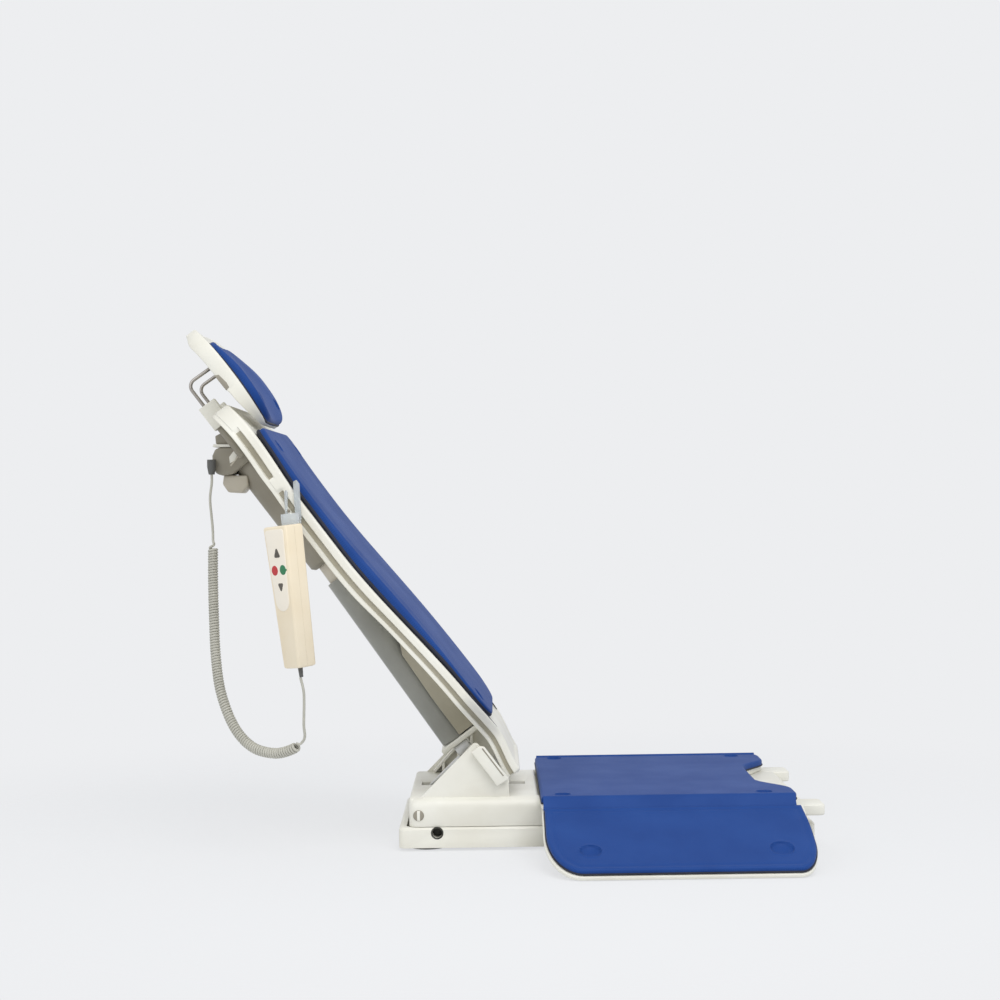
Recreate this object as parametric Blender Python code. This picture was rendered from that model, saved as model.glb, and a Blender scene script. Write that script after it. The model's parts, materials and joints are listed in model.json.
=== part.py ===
"""A reclining bath lift chair, built as an assembly of separate named pieces.

X points the way the sitter faces, Y to the sitter's left and Z up, in metres. The chair is
lowered and reclined: the scissor lift is folded into the base and the side flaps rest on the floor.
The whole assembly hangs on one empty, which is set so that the origin is the middle of the footprint.
"""
import math

import bmesh
import bpy
from mathutils import Matrix, Vector

MM = 0.001

# Clearances
FIT = 0.3 * MM
RUN = 1.0 * MM

# Base tray on the bath floor
BASE_REAR = -133 * MM
BASE_NOSE = 18 * MM
BASE_WIDTH = 264 * MM
BASE_SIDE_HEIGHT = 24.6 * MM
BASE_CHAMFER = 3 * MM
BASE_CHAMFER_HEIGHT = 3 * MM
BASE_WALL = 10 * MM
BASE_FLOOR = 5 * MM
BASE_CORNER = 9 * MM
CUP_HEIGHT = 4 * MM
CUP_RADIUS = 27 * MM
CUP_STEM_RADIUS = 6 * MM
CUP_INSET = 38 * MM

# Scissor lift
ARM_THICKNESS = 8 * MM
ARM_HALF_HEIGHT = 8 * MM
ARM_SIDE_GAP = 4 * MM
ARM_LOWER_HALF = 227.5 * MM
ARM_OFFSET = 25 * MM
BASE_PIVOT_BACK = 52 * MM
BASE_PIVOT_HEIGHT = 15.2 * MM
BASE_PIVOT_RADIUS = 6.4 * MM
BASE_PIVOT_RECESS = 5 * MM
SEAT_PIVOT_RADIUS = 7 * MM
SHAFT_RADIUS = 5 * MM
SHAFT_END = 3 * MM
ROLLER_WIDTH = 6 * MM
UPPER_ROLLER_RADIUS = 8 * MM
CRANK_LENGTH = 92.6 * MM
CRANK_ANGLE = math.radians(44.3)
CRANK_HALF_WIDTH = 8 * MM
CRANK_THICKNESS = 8 * MM

# Seat carriage, seat plate and covers
CARRIAGE_REAR = -119 * MM
CARRIAGE_STEP = 57 * MM
CARRIAGE_NOSE = 13.6 * MM
CARRIAGE_WIDTH = 242 * MM
CARRIAGE_WALL = 8 * MM
CARRIAGE_END_WALL = 4 * MM
CARRIAGE_GAP = 1.6 * MM
CARRIAGE_REAR_HEIGHT = 37.8 * MM
CARRIAGE_FRONT_HEIGHT = 28.8 * MM
CARRIAGE_REAR_DECK = 7 * MM
CARRIAGE_FRONT_DECK = 6 * MM
SLOT_HALF_WIDTH = 14 * MM
SLOT_REAR = -106 * MM
SLOT_FRONT = 40 * MM
PLATE_THICKNESS = 7.4 * MM
PLATE_INSET = 2 * MM
SEAT_REAR = 59 * MM
SEAT_SETBACK = 14 * MM
SEAT_HALF_WIDTH = 185 * MM
COVER_THICKNESS = 10 * MM
NOTCH_DEPTH = 38 * MM
NOTCH_HALF_WIDTH = 65 * MM
NOTCH_MOUTH_HALF_WIDTH = 132 * MM
SEAT_CORNER = 6 * MM
NOTCH_LOBE = 14 * MM
NOTCH_VALLEY = 20 * MM
LUG_LENGTH = 62 * MM
LUG_WIDTH = 48 * MM
LUG_HEIGHT = 15 * MM
LUG_REACH = 39 * MM

# Side flaps
FLAP_HINGE_OUT = 1.5 * MM
FLAP_HINGE_DROP = 3.3 * MM
FLAP_PANEL_START = 2.2 * MM
FLAP_WIDTH = 167 * MM
FLAP_PANEL_THICKNESS = 5 * MM
FLAP_COVER_THICKNESS = 8 * MM
FLAP_COVER_START = 15 * MM
FLAP_RIM = 3.5 * MM
FLAP_REAR_CORNER = (45 * MM, 90 * MM)
FLAP_FRONT_CORNER = (27 * MM, 65 * MM)
FLAP_FLOOR_GAP = 0.5 * MM
FLAP_FRONT_REACH = 6 * MM

# Bracket that carries the backrest
BRACKET_THICKNESS = 7 * MM
BRACKET_FOOT_REAR = -105 * MM
BRACKET_FOOT_FRONT = 17 * MM
BRACKET_NOSE_HEIGHT = 25 * MM
BRACKET_APEX_X = -28 * MM
BRACKET_APEX_HEIGHT = 74 * MM
BRACKET_APEX_CORNER = 5 * MM
BRACKET_NOSE_CORNER = 8 * MM
HINGE_X = 2 * MM
HINGE_HEIGHT = 29 * MM
HINGE_PIN_RADIUS = 5 * MM
HINGE_HEAD_RADIUS = 8 * MM
HINGE_HEAD_LENGTH = 3 * MM

# Backrest
RECLINE = math.radians(36.8)
BACK_LENGTH = 624 * MM
BACK_HALF_WIDTH = 168 * MM
BACK_TAPER_START = 35 * MM
BACK_TAPER_END = 120 * MM
BACK_TOP_CORNER = 70 * MM
BACK_FRONT_MEAN = 30.2 * MM
LUMBAR_WAVE = 6.3 * MM
LUMBAR_PEAK = 140 * MM
LUMBAR_HALF_WAVE = 300 * MM
BACK_ROLL_START = 60 * MM
BACK_ROLL = 10 * MM
BACK_DEPTH = 22 * MM
BACK_WALL = 6 * MM
BACK_FOOT_BAR = 45 * MM
BACK_LUG_THICKNESS = 13 * MM
BACK_LUG_RADIUS = 11 * MM
PAD_BOTTOM = 60 * MM
PAD_TOP_MARGIN = 67 * MM
PAD_HALF_WIDTH = 155 * MM
PAD_BOTTOM_CORNER = 70 * MM
PAD_TOP_CORNER = 45 * MM
PAD_THICKNESS = 8 * MM

# Drive behind the backrest
TUBE_RADIUS = 20 * MM
TUBE_BOTTOM = 65 * MM
TUBE_TOP = 372 * MM
TUBE_BOTTOM_FRONT = -25 * MM
TUBE_TOP_FRONT = -13.2 * MM
TUBE_BORE_DEPTH = 180 * MM
ROD_RADIUS = 12 * MM
ROD_INSERTED = 150 * MM
FLANGE_THICKNESS = 7 * MM
FLANGE_HALF_WIDTH = 34 * MM
FLANGE_REAR = -51 * MM
FORK_WEB = 9 * MM
FORK_REACH = 24 * MM
FORK_HALF_WIDTH = 11 * MM
FORK_TINE = 6 * MM
FORK_GAP = 2 * MM
MOTOR_RADIUS = 25 * MM
MOTOR_TOP_MARGIN = 72 * MM
MOTOR_FRONT = -18 * MM
CLAMP_HEIGHT = 26 * MM
CLAMP_HALF_WIDTH = 27 * MM
CLAMP_BOTTOM = 338 * MM
GEAR_HEIGHT = 38 * MM
GEAR_REAR = -62 * MM
GEAR_FRONT = 2 * MM
GEAR_HALF_WIDTH = 32 * MM
GEAR_CORNER = 4 * MM
CAP_THICKNESS = 4 * MM
CAP_OVERHANG = 3 * MM
CONNECTOR_HEIGHT = 27 * MM
CONNECTOR_DEPTH = 24 * MM
CONNECTOR_HALF_WIDTH = 22 * MM
GLAND_RADIUS = 6.2 * MM
GLAND_TIP_RADIUS = 4.2 * MM
GLAND_LENGTH = 21 * MM
GLAND_FRONT = -56 * MM
GLAND_DROP = 6 * MM

# Headrest
HEAD_OVERLAP = 48 * MM
HEAD_LENGTH = 161 * MM
HEAD_HALF_WIDTH = 122 * MM
HEAD_CORNER = 52 * MM
HEAD_FRONT = 35.5 * MM
HEAD_CROWN = 5 * MM
HEAD_CURVE = 6 * MM
HEAD_REST = 2 * MM
HEAD_WALL = 4 * MM
HEAD_DEPTH = 26 * MM
HEAD_STEP = 52 * MM
HEAD_RAMP = 16 * MM
HEAD_STEPS = 6
HEAD_PAD_LENGTH = 134 * MM
HEAD_PAD_HALF_WIDTH = 112 * MM
HEAD_PAD_CORNER = 50 * MM
HEAD_PAD_THICKNESS = 9 * MM
HEAD_PAD_WING = 9 * MM
ROD_WIRE_RADIUS = 3.5 * MM
ROD_WIRE_SPREAD = 46 * MM
ROD_WIRE_BACK = -18 * MM
ROD_WIRE_START = 109 * MM
ROD_WIRE_TURN = 111 * MM
ROD_WIRE_BEND = 11 * MM
ROD_WIRE_TAIL = 30 * MM
SOCKET_REACH = 24 * MM
SOCKET_LENGTH = 48 * MM
SOCKET_HALF_WIDTH = 9 * MM
SOCKET_REAR_WALL = 4.5 * MM

# Handset
HANDSET_HANG = 149.3 * MM
HANDSET_BACKSET = 3.1 * MM
HANDSET_STANDOFF = 32 * MM
HANDSET_TILT = math.radians(6.3)
HANDSET_TURN = math.radians(46)
HANDSET_LENGTH = 187 * MM
HANDSET_TOP_WIDTH = 46 * MM
HANDSET_FOOT_WIDTH = 42 * MM
HANDSET_FRONT_DEPTH = 15 * MM
HANDSET_REAR_DEPTH = 15 * MM
HANDSET_FOOT_DEPTH = 13 * MM
HANDSET_EDGE = 5 * MM
HOOK_WIDTH = 21 * MM
HOOK_TOP_WIDTH = 13 * MM
HOOK_OFFSET = 7.5 * MM
HOOK_THICKNESS = 2.5 * MM
HOOK_STATION = 478 * MM
HOOK_BAR_RADIUS = 2.5 * MM
HOOK_LIP = 9 * MM
HOOK_TAB = 36 * MM
HOOK_TAB_HEIGHT = 5 * MM
BUTTON_RADIUS = 7.1 * MM
BUTTON_SPREAD = 8.7 * MM
BUTTON_SHIFT = 1 * MM
BUTTON_ROW = 21 * MM
BUTTON_CENTRE = 36 * MM
BUTTON_PROUD = 2 * MM
BUTTON_WELL = 6 * MM
BUTTON_TRAVEL = 1.5 * MM
ARROW_BASE = 15 * MM
ARROW_HEIGHT = 15.5 * MM
ARROW_CORNER = 2 * MM
RELIEF_RADIUS = 5.5 * MM
RELIEF_TIP_RADIUS = 4.2 * MM
RELIEF_LENGTH = 13 * MM

# Curly cord
LEAD_RADIUS = 2.6 * MM
COIL_RADIUS = 7.7 * MM
LEAD_POINT_STEP = 8 * MM
COIL_POINT_STEP = 12 * MM
UPPER_LEAD_ROUTE = [(-392.9, -38.6, 502), (-395.3, -40.5, 480), (-392.8, -46, 456), (-390.7, -51, 436)]
COIL_ROUTE = [
    (-389.8, -55, 415), (-388.6, -66, 370), (-386, -80, 320), (-381.4, -97, 262), (-372.3, -114, 215),
    (-352.5, -134, 172), (-326, -153, 147), (-294, -172, 140.6), (-269, -186, 147.5), (-254.5, -193, 158),
]
LOWER_LEAD_ROUTE = [
    (-247.3, -196.5, 163.2), (-244.5, -198.5, 178), (-247.5, -199.5, 205), (-251.4, -200, 226),
]

# Heights that follow from the stack of pieces
FLOOR_TOP = CUP_HEIGHT + BASE_FLOOR
BASE_TOP = CUP_HEIGHT + BASE_SIDE_HEIGHT + BASE_CHAMFER_HEIGHT
CARRIAGE_BOTTOM = BASE_TOP + CARRIAGE_GAP
REAR_DECK = CARRIAGE_BOTTOM + CARRIAGE_REAR_HEIGHT
FRONT_DECK = CARRIAGE_BOTTOM + CARRIAGE_FRONT_HEIGHT
FRONT_CEILING = FRONT_DECK - CARRIAGE_FRONT_DECK
PLATE_BOTTOM = FRONT_DECK + FIT
PLATE_TOP = PLATE_BOTTOM + PLATE_THICKNESS
COVER_BOTTOM = PLATE_TOP + FIT

# Scissor pivots, with the arms folded until the upper rollers reach the carriage's ceiling
BASE_PIVOT = Vector((BASE_REAR + BASE_PIVOT_BACK, 0, FLOOR_TOP + BASE_PIVOT_HEIGHT))
ARM_UPPER_HALF = ARM_LOWER_HALF + ARM_OFFSET
UPPER_AXLE_Z = FRONT_CEILING - FIT - UPPER_ROLLER_RADIUS
FOLDED_ANGLE = math.asin((UPPER_AXLE_Z - BASE_PIVOT.z) / (ARM_LOWER_HALF + ARM_UPPER_HALF))
ARM_RISE = Vector((math.cos(FOLDED_ANGLE), 0, math.sin(FOLDED_ANGLE)))
ARM_FALL = Vector((math.cos(FOLDED_ANGLE), 0, -math.sin(FOLDED_ANGLE)))
CENTRE_PIVOT = BASE_PIVOT + ARM_LOWER_HALF * ARM_RISE
UPPER_AXLE = CENTRE_PIVOT + ARM_UPPER_HALF * ARM_RISE
SEAT_PIVOT = CENTRE_PIVOT - ARM_UPPER_HALF * ARM_FALL
LOWER_AXLE = CENTRE_PIVOT + ARM_LOWER_HALF * ARM_FALL
OUTER_ARM_FACE = CARRIAGE_WIDTH / 2 - CARRIAGE_WALL - RUN - ROLLER_WIDTH
OUTER_ARM_Y = OUTER_ARM_FACE - ARM_THICKNESS
INNER_ARM_FACE = OUTER_ARM_Y - ARM_SIDE_GAP
INNER_ARM_Y = INNER_ARM_FACE - ARM_THICKNESS
SHAFT_BORE = SHAFT_RADIUS + FIT

# Lengths that follow from the folded arms
CARRIAGE_FRONT = UPPER_AXLE.x + CARRIAGE_NOSE
SEAT_FRONT = CARRIAGE_FRONT - SEAT_SETBACK
BASE_LENGTH = CARRIAGE_FRONT + BASE_NOSE - BASE_REAR

# Flap hinges, and the droop that lays the flap's edge on the floor
FLAP_HINGE_Y = SEAT_HALF_WIDTH + FLAP_HINGE_OUT
FLAP_HINGE_Z = PLATE_TOP - FLAP_HINGE_DROP
FLAP_UNDERSIDE = FLAP_PANEL_THICKNESS + FIT / 2
FLAP_DROOP = (
    math.asin((FLAP_HINGE_Z - FLAP_FLOOR_GAP) / math.hypot(FLAP_WIDTH, FLAP_UNDERSIDE))
    - math.atan2(FLAP_UNDERSIDE, FLAP_WIDTH)
)

# Bracket and the frame of the backrest: its X is the front, its Z runs up the back
BRACKET_FOOT = REAR_DECK + FIT
BRACKET_OUTER = CARRIAGE_WIDTH / 2 - RUN
BRACKET_INNER = BRACKET_OUTER - BRACKET_THICKNESS
BACK_FOOT_HALF_WIDTH = BRACKET_INNER - RUN
BACK_HINGE = Vector((HINGE_X, 0, BRACKET_FOOT + HINGE_HEIGHT))
BACK_PLACE = Matrix.Translation(BACK_HINGE) @ Matrix.Rotation(-RECLINE, 4, "Y")

# Frame of the drive: its Z runs up the tube from the tube's lower end
TUBE_TILT = math.atan2(TUBE_TOP_FRONT - TUBE_BOTTOM_FRONT, TUBE_TOP - TUBE_BOTTOM)
TUBE_LENGTH = math.hypot(TUBE_TOP_FRONT - TUBE_BOTTOM_FRONT, TUBE_TOP - TUBE_BOTTOM)
DRIVE_PLACE = (
    BACK_PLACE
    @ Matrix.Translation((TUBE_BOTTOM_FRONT, 0, TUBE_BOTTOM))
    @ Matrix.Rotation(TUBE_TILT, 4, "Y")
)
MOTOR_TOP = BACK_LENGTH - MOTOR_TOP_MARGIN
GEAR_BOTTOM = MOTOR_TOP + FIT
GEAR_TOP = GEAR_BOTTOM + GEAR_HEIGHT
GLAND_SIDE = GEAR_HALF_WIDTH + FIT + GLAND_RADIUS
GLAND_TOP = BACK_PLACE @ Vector((GLAND_FRONT, -GLAND_SIDE, GEAR_TOP - GLAND_DROP))

# Headrest, from the top of the backrest
PAD_TOP = BACK_LENGTH - PAD_TOP_MARGIN
HEAD_BOTTOM = BACK_LENGTH - HEAD_OVERLAP
HEAD_TOP = HEAD_BOTTOM + HEAD_LENGTH
SOCKET_TOP = BACK_LENGTH + SOCKET_REACH
SOCKET_BOTTOM = SOCKET_TOP - SOCKET_LENGTH

# Buttons of the handset: finish, place on the keypad and which way an arrow points
BUTTONS = (
    ("button_up", "black_button", BUTTON_SHIFT, BUTTON_CENTRE + BUTTON_ROW, 1),
    ("button_down", "black_button", BUTTON_SHIFT, BUTTON_CENTRE - BUTTON_ROW, -1),
    ("button_red", "red_button", BUTTON_SHIFT - BUTTON_SPREAD, BUTTON_CENTRE, 0),
    ("button_green", "green_button", BUTTON_SHIFT + BUTTON_SPREAD, BUTTON_CENTRE, 0),
)
FINISHES = {
    "white_plastic": ((0.84, 0.83, 0.77), 0.38, 0.0),
    "blue_cover": ((0.022, 0.080, 0.33), 0.5, 0.0),
    "grey_tube": ((0.27, 0.27, 0.25), 0.35, 0.0),
    "motor_grey": ((0.20, 0.18, 0.15), 0.45, 0.0),
    "steel": ((0.62, 0.62, 0.60), 0.3, 1.0),
    "chrome": ((0.75, 0.75, 0.75), 0.12, 1.0),
    "grey_rubber": ((0.12, 0.12, 0.12), 0.7, 0.0),
    "nylon": ((0.70, 0.68, 0.62), 0.5, 0.0),
    "cream_plastic": ((0.86, 0.77, 0.60), 0.4, 0.0),
    "clear_plastic": ((0.75, 0.79, 0.80), 0.15, 0.0),
    "cord_grey": ((0.50, 0.50, 0.47), 0.55, 0.0),
    "black_button": ((0.03, 0.03, 0.03), 0.5, 0.0),
    "red_button": ((0.55, 0.03, 0.03), 0.45, 0.0),
    "green_button": ((0.02, 0.25, 0.10), 0.45, 0.0),
}
SIDES = (("left", 1), ("right", -1))
ACROSS = Matrix.Rotation(math.radians(-90), 4, "X")
IDENTITY = Matrix.Identity(4)


# Shapes

def arc(centre, radii, start, stop, steps):
    """Points of an elliptical arc about a centre, from one angle to another in degrees."""
    points = []
    for i in range(steps + 1):
        angle = math.radians(start + (stop - start) * i / steps)
        points.append((centre[0] + radii[0] * math.cos(angle), centre[1] + radii[1] * math.sin(angle)))
    return points


def fillet(corners, steps=4):
    """An outline through corners (x, y, radius), each rounded by an arc of its radius."""
    outline = []
    for i, (x, y, radius) in enumerate(corners):
        here = Vector((x, y))
        if radius == 0:
            outline.append((x, y))
            continue
        before = (Vector(corners[i - 1][:2]) - here).normalized()
        after = (Vector(corners[(i + 1) % len(corners)][:2]) - here).normalized()
        half = before.angle(after) / 2
        centre = here + (before + after).normalized() * (radius / math.sin(half))
        reach = radius / math.tan(half)
        first = here + before * reach - centre
        last = here + after * reach - centre
        start = math.degrees(math.atan2(first.y, first.x))
        turn = math.degrees(math.atan2(last.y, last.x)) - start
        turn = (turn + 180) % 360 - 180
        outline.extend(arc(centre, (radius, radius), start, start + turn, steps))
    return outline


def box_outline(low, high, radius=0.0):
    """A rectangle between two corners, with its own corners rounded."""
    (x0, y0), (x1, y1) = low, high
    return fillet([(x0, y0, radius), (x1, y0, radius), (x1, y1, radius), (x0, y1, radius)])


def skin(loops):
    """A closed solid through a row of loops with the same number of points."""
    bm = bmesh.new()
    rings = [[bm.verts.new(point) for point in loop] for loop in loops]
    for lower, upper in zip(rings, rings[1:]):
        for i in range(len(lower)):
            j = (i + 1) % len(lower)
            bm.faces.new((lower[i], lower[j], upper[j], upper[i]))
    bm.faces.new(rings[0][::-1])
    bm.faces.new(rings[-1])
    bmesh.ops.remove_doubles(bm, verts=bm.verts[:], dist=FIT / 100)
    return bm


def prism(outline, low, high, axis="Z"):
    """A closed solid: a flat outline carried along an axis from low to high."""
    def point(p, level):
        return {"X": (level, p[0], p[1]), "Y": (p[0], level, p[1]), "Z": (p[0], p[1], level)}[axis]
    return skin([[point(p, level) for p in outline] for level in (low, high)])


def revolve(profile, sides=20):
    """A turned solid about Z from (radius, height) points: on the axis at both ends, or a closed ring."""
    bm = bmesh.new()
    rings = []
    for radius, height in profile:
        if radius == 0:
            rings.append([bm.verts.new((0, 0, height))])
            continue
        turn = [2 * math.pi * i / sides for i in range(sides)]
        rings.append([bm.verts.new((radius * math.cos(a), radius * math.sin(a), height)) for a in turn])
    pairs = list(zip(rings, rings[1:]))
    if profile[0][0] > 0:
        pairs.append((rings[-1], rings[0]))
    for lower, upper in pairs:
        for i in range(sides):
            j = (i + 1) % sides
            if len(lower) == 1:
                bm.faces.new((lower[0], upper[j], upper[i]))
            elif len(upper) == 1:
                bm.faces.new((lower[i], lower[j], upper[0]))
            else:
                bm.faces.new((lower[i], lower[j], upper[j], upper[i]))
    return bm


def cylinder(radius, low, high, sides=20):
    """A plain round bar about Z."""
    return revolve([(0, low), (radius, low), (radius, high), (0, high)], sides)


def ring(outer, inner, low, high, sides=20):
    """A round sleeve about Z."""
    return revolve([(outer, low), (outer, high), (inner, high), (inner, low)], sides)


# Objects

def frame(name, location, root):
    """An empty on a joint's axis, which carries the pieces of one moving body."""
    empty = bpy.data.objects.new(name, None)
    bpy.context.collection.objects.link(empty)
    empty.location = location
    empty.parent = root
    return empty


def finish_material(finish):
    """The material of a finish, made once."""
    if finish in bpy.data.materials:
        return bpy.data.materials[finish]
    colour, roughness, metallic = FINISHES[finish]
    material = bpy.data.materials.new(finish)
    material.use_nodes = True
    shader = material.node_tree.nodes["Principled BSDF"]
    shader.inputs["Base Color"].default_value = (*colour, 1)
    shader.inputs["Roughness"].default_value = roughness
    shader.inputs["Metallic"].default_value = metallic
    return material


def add_object(name, bm, body, place):
    """An object on a body's empty, from a solid given in its own frame and that frame's place."""
    bmesh.ops.transform(bm, matrix=body.matrix_basis.inverted() @ place, verts=bm.verts[:])
    bmesh.ops.recalc_face_normals(bm, faces=bm.faces[:])
    mesh = bpy.data.meshes.new(name)
    bm.to_mesh(mesh)
    bm.free()
    piece = bpy.data.objects.new(name, mesh)
    bpy.context.collection.objects.link(piece)
    piece.parent = body
    return piece


def make(name, bm, finish, body, place=IDENTITY):
    """A piece of the assembly, with its finish."""
    piece = add_object(name, bm, body, place)
    piece.data.materials.append(finish_material(finish))
    piece.data.shade_smooth()
    piece.data.set_sharp_from_angle(angle=math.radians(35))
    return piece


def carve(piece, bm, place=IDENTITY, operation="DIFFERENCE"):
    """Cuts a solid out of a piece, or joins it on, with a hidden tool object."""
    tool = add_object("tool", bm, piece.parent, place)
    tool.hide_render = True
    tool.display_type = "WIRE"
    cut = piece.modifiers.new(operation.lower(), "BOOLEAN")
    cut.operation = operation
    cut.solver = "EXACT"
    cut.object = tool


def bore(piece, centre, radius, half_length, sides=20):
    """Cuts a round hole along Y through a piece."""
    carve(piece, cylinder(radius, -half_length, half_length, sides), Matrix.Translation(centre) @ ACROSS)


def shaft(name, centre, profile, body):
    """A steel shaft along Y, turned from the (radius, half length) steps of its middle and ends."""
    steps = [(0, -profile[-1][1])]
    for i in range(len(profile) - 1, -1, -1):
        radius, half = profile[i]
        steps.append((radius, -half))
        if i:
            steps.append((radius, -profile[i - 1][1]))
    mirrored = [(radius, -height) for radius, height in reversed(steps)]
    return make(name, revolve(steps + mirrored), "steel", body, Matrix.Translation(centre) @ ACROSS)


# Base

def build_base(body):
    """The tray on the bath floor, its suction cups and the shaft that the outer arms turn on."""
    half = BASE_WIDTH / 2
    front = BASE_REAR + BASE_LENGTH
    side_top = CUP_HEIGHT + BASE_SIDE_HEIGHT
    levels = []
    for inset, height in ((0, CUP_HEIGHT), (0, side_top), (BASE_CHAMFER, BASE_TOP)):
        outline = box_outline((BASE_REAR + inset, inset - half), (front - inset, half - inset), BASE_CORNER)
        levels.append([(x, y, height) for x, y in outline])
    tray = make("base_tray", skin(levels), "white_plastic", body)
    pocket = box_outline(
        (BASE_REAR + BASE_WALL, BASE_WALL - half), (front - BASE_WALL, half - BASE_WALL), BASE_CORNER
    )
    carve(tray, prism(pocket, FLOOR_TOP, BASE_TOP + BASE_FLOOR))
    bore(tray, BASE_PIVOT, BASE_PIVOT_RADIUS + FIT, BASE_WIDTH)
    for end, x in (("rear", BASE_REAR + CUP_INSET), ("front", front - CUP_INSET)):
        for side, sign in SIDES:
            centre = Matrix.Translation((x, sign * (half - CUP_INSET), 0))
            rim = CUP_HEIGHT - FIT
            profile = [
                (0, 0), (CUP_RADIUS, 0), (CUP_RADIUS, rim / 2), (CUP_STEM_RADIUS, rim),
                (CUP_STEM_RADIUS, FLOOR_TOP), (0, FLOOR_TOP),
            ]
            make(f"suction_cup_{end}_{side}", revolve(profile), "grey_rubber", body, centre)
            carve(tray, cylinder(CUP_STEM_RADIUS + FIT, 0, FLOOR_TOP + FIT), centre)
    shaft(
        "base_pivot_shaft",
        BASE_PIVOT,
        [(SHAFT_RADIUS, OUTER_ARM_FACE + RUN), (BASE_PIVOT_RADIUS, half - BASE_PIVOT_RECESS)],
        body,
    )


# Scissor lift

def arm(name, start, stop, face, body, pivots):
    """A flat scissor bar with round ends, bored at its pivots. Its inner face lies at the given Y."""
    run = stop - start
    bar = fillet(
        [
            (-ARM_HALF_HEIGHT, -ARM_HALF_HEIGHT, ARM_HALF_HEIGHT),
            (run.length + ARM_HALF_HEIGHT, -ARM_HALF_HEIGHT, ARM_HALF_HEIGHT),
            (run.length + ARM_HALF_HEIGHT, ARM_HALF_HEIGHT, ARM_HALF_HEIGHT),
            (-ARM_HALF_HEIGHT, ARM_HALF_HEIGHT, ARM_HALF_HEIGHT),
        ]
    )
    tilt = Matrix.Rotation(-math.atan2(run.z, run.x), 4, "Y")
    low, high = sorted((face, face + math.copysign(ARM_THICKNESS, face)))
    piece = make(name, prism(bar, low, high, "Y"), "steel", body, Matrix.Translation(start) @ tilt)
    for pivot in pivots:
        bore(piece, pivot, SHAFT_BORE, CARRIAGE_WIDTH)


def rollers(name, centre, radius, near, body):
    """A pair of guide rollers on an axle, each with its inner face at a distance from the middle."""
    for side, sign in SIDES:
        wheel = ring(radius, SHAFT_BORE, near, near + ROLLER_WIDTH, 24)
        place = Matrix.Translation(centre) @ Matrix.Rotation(-sign * math.pi / 2, 4, "X")
        make(f"{name}_{side}", wheel, "nylon", body, place)


def build_outer_scissor(body):
    """The outer pair of arms, from the base pivot up to the rollers under the seat."""
    for side, sign in SIDES:
        pivots = (BASE_PIVOT, CENTRE_PIVOT, UPPER_AXLE)
        arm(f"outer_arm_{side}", BASE_PIVOT, UPPER_AXLE, sign * OUTER_ARM_Y, body, pivots)
    roller_start = OUTER_ARM_FACE + FIT
    shaft("centre_shaft", CENTRE_PIVOT, [(SHAFT_RADIUS, OUTER_ARM_FACE + SHAFT_END)], body)
    shaft("upper_cross_shaft", UPPER_AXLE, [(SHAFT_RADIUS, roller_start + ROLLER_WIDTH)], body)
    rollers("upper_roller", UPPER_AXLE, UPPER_ROLLER_RADIUS, roller_start, body)


def build_inner_scissor(body):
    """The inner pair of arms, from the seat pivot down to the rollers in the base, and the lift crank."""
    for side, sign in SIDES:
        pivots = (SEAT_PIVOT, CENTRE_PIVOT, LOWER_AXLE)
        arm(f"inner_arm_{side}", SEAT_PIVOT, LOWER_AXLE, sign * INNER_ARM_Y, body, pivots)
    roller_start = INNER_ARM_Y - FIT - ROLLER_WIDTH
    shaft("lower_cross_shaft", LOWER_AXLE, [(SHAFT_RADIUS, INNER_ARM_FACE + SHAFT_END)], body)
    rollers("lower_roller", LOWER_AXLE, LOWER_AXLE.z - FLOOR_TOP - FIT, roller_start, body)
    wall = CARRIAGE_WIDTH / 2 - CARRIAGE_WALL
    shaft(
        "seat_pivot_shaft",
        SEAT_PIVOT,
        [(SHAFT_RADIUS, wall - RUN), (SEAT_PIVOT_RADIUS, CARRIAGE_WIDTH / 2)],
        body,
    )
    lever = fillet(
        [
            (-CRANK_HALF_WIDTH, -CRANK_HALF_WIDTH, CRANK_HALF_WIDTH),
            (CRANK_LENGTH + CRANK_HALF_WIDTH, -CRANK_HALF_WIDTH, CRANK_HALF_WIDTH),
            (CRANK_LENGTH + CRANK_HALF_WIDTH, CRANK_HALF_WIDTH, CRANK_HALF_WIDTH),
            (-CRANK_HALF_WIDTH, CRANK_HALF_WIDTH, CRANK_HALF_WIDTH),
        ]
    )
    place = Matrix.Translation(SEAT_PIVOT) @ Matrix.Rotation(-CRANK_ANGLE, 4, "Y")
    thickness = CRANK_THICKNESS / 2
    crank = make("lift_crank", prism(lever, -thickness, thickness, "Y"), "steel", body, place)
    bore(crank, SEAT_PIVOT, SHAFT_BORE, CRANK_THICKNESS)


# Seat

def seat_outline(inset, half_width):
    """The seat seen from above, with the notch in its front edge."""
    front = SEAT_FRONT - inset
    deep = front - NOTCH_DEPTH
    right = [
        (SEAT_REAR, -half_width, SEAT_CORNER),
        (front, -half_width, SEAT_CORNER),
        (front, -NOTCH_MOUTH_HALF_WIDTH, NOTCH_LOBE),
        (deep, -NOTCH_HALF_WIDTH, NOTCH_VALLEY),
    ]
    left = [(x, -y, radius) for x, y, radius in reversed(right)]
    return fillet(right + left)


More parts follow.
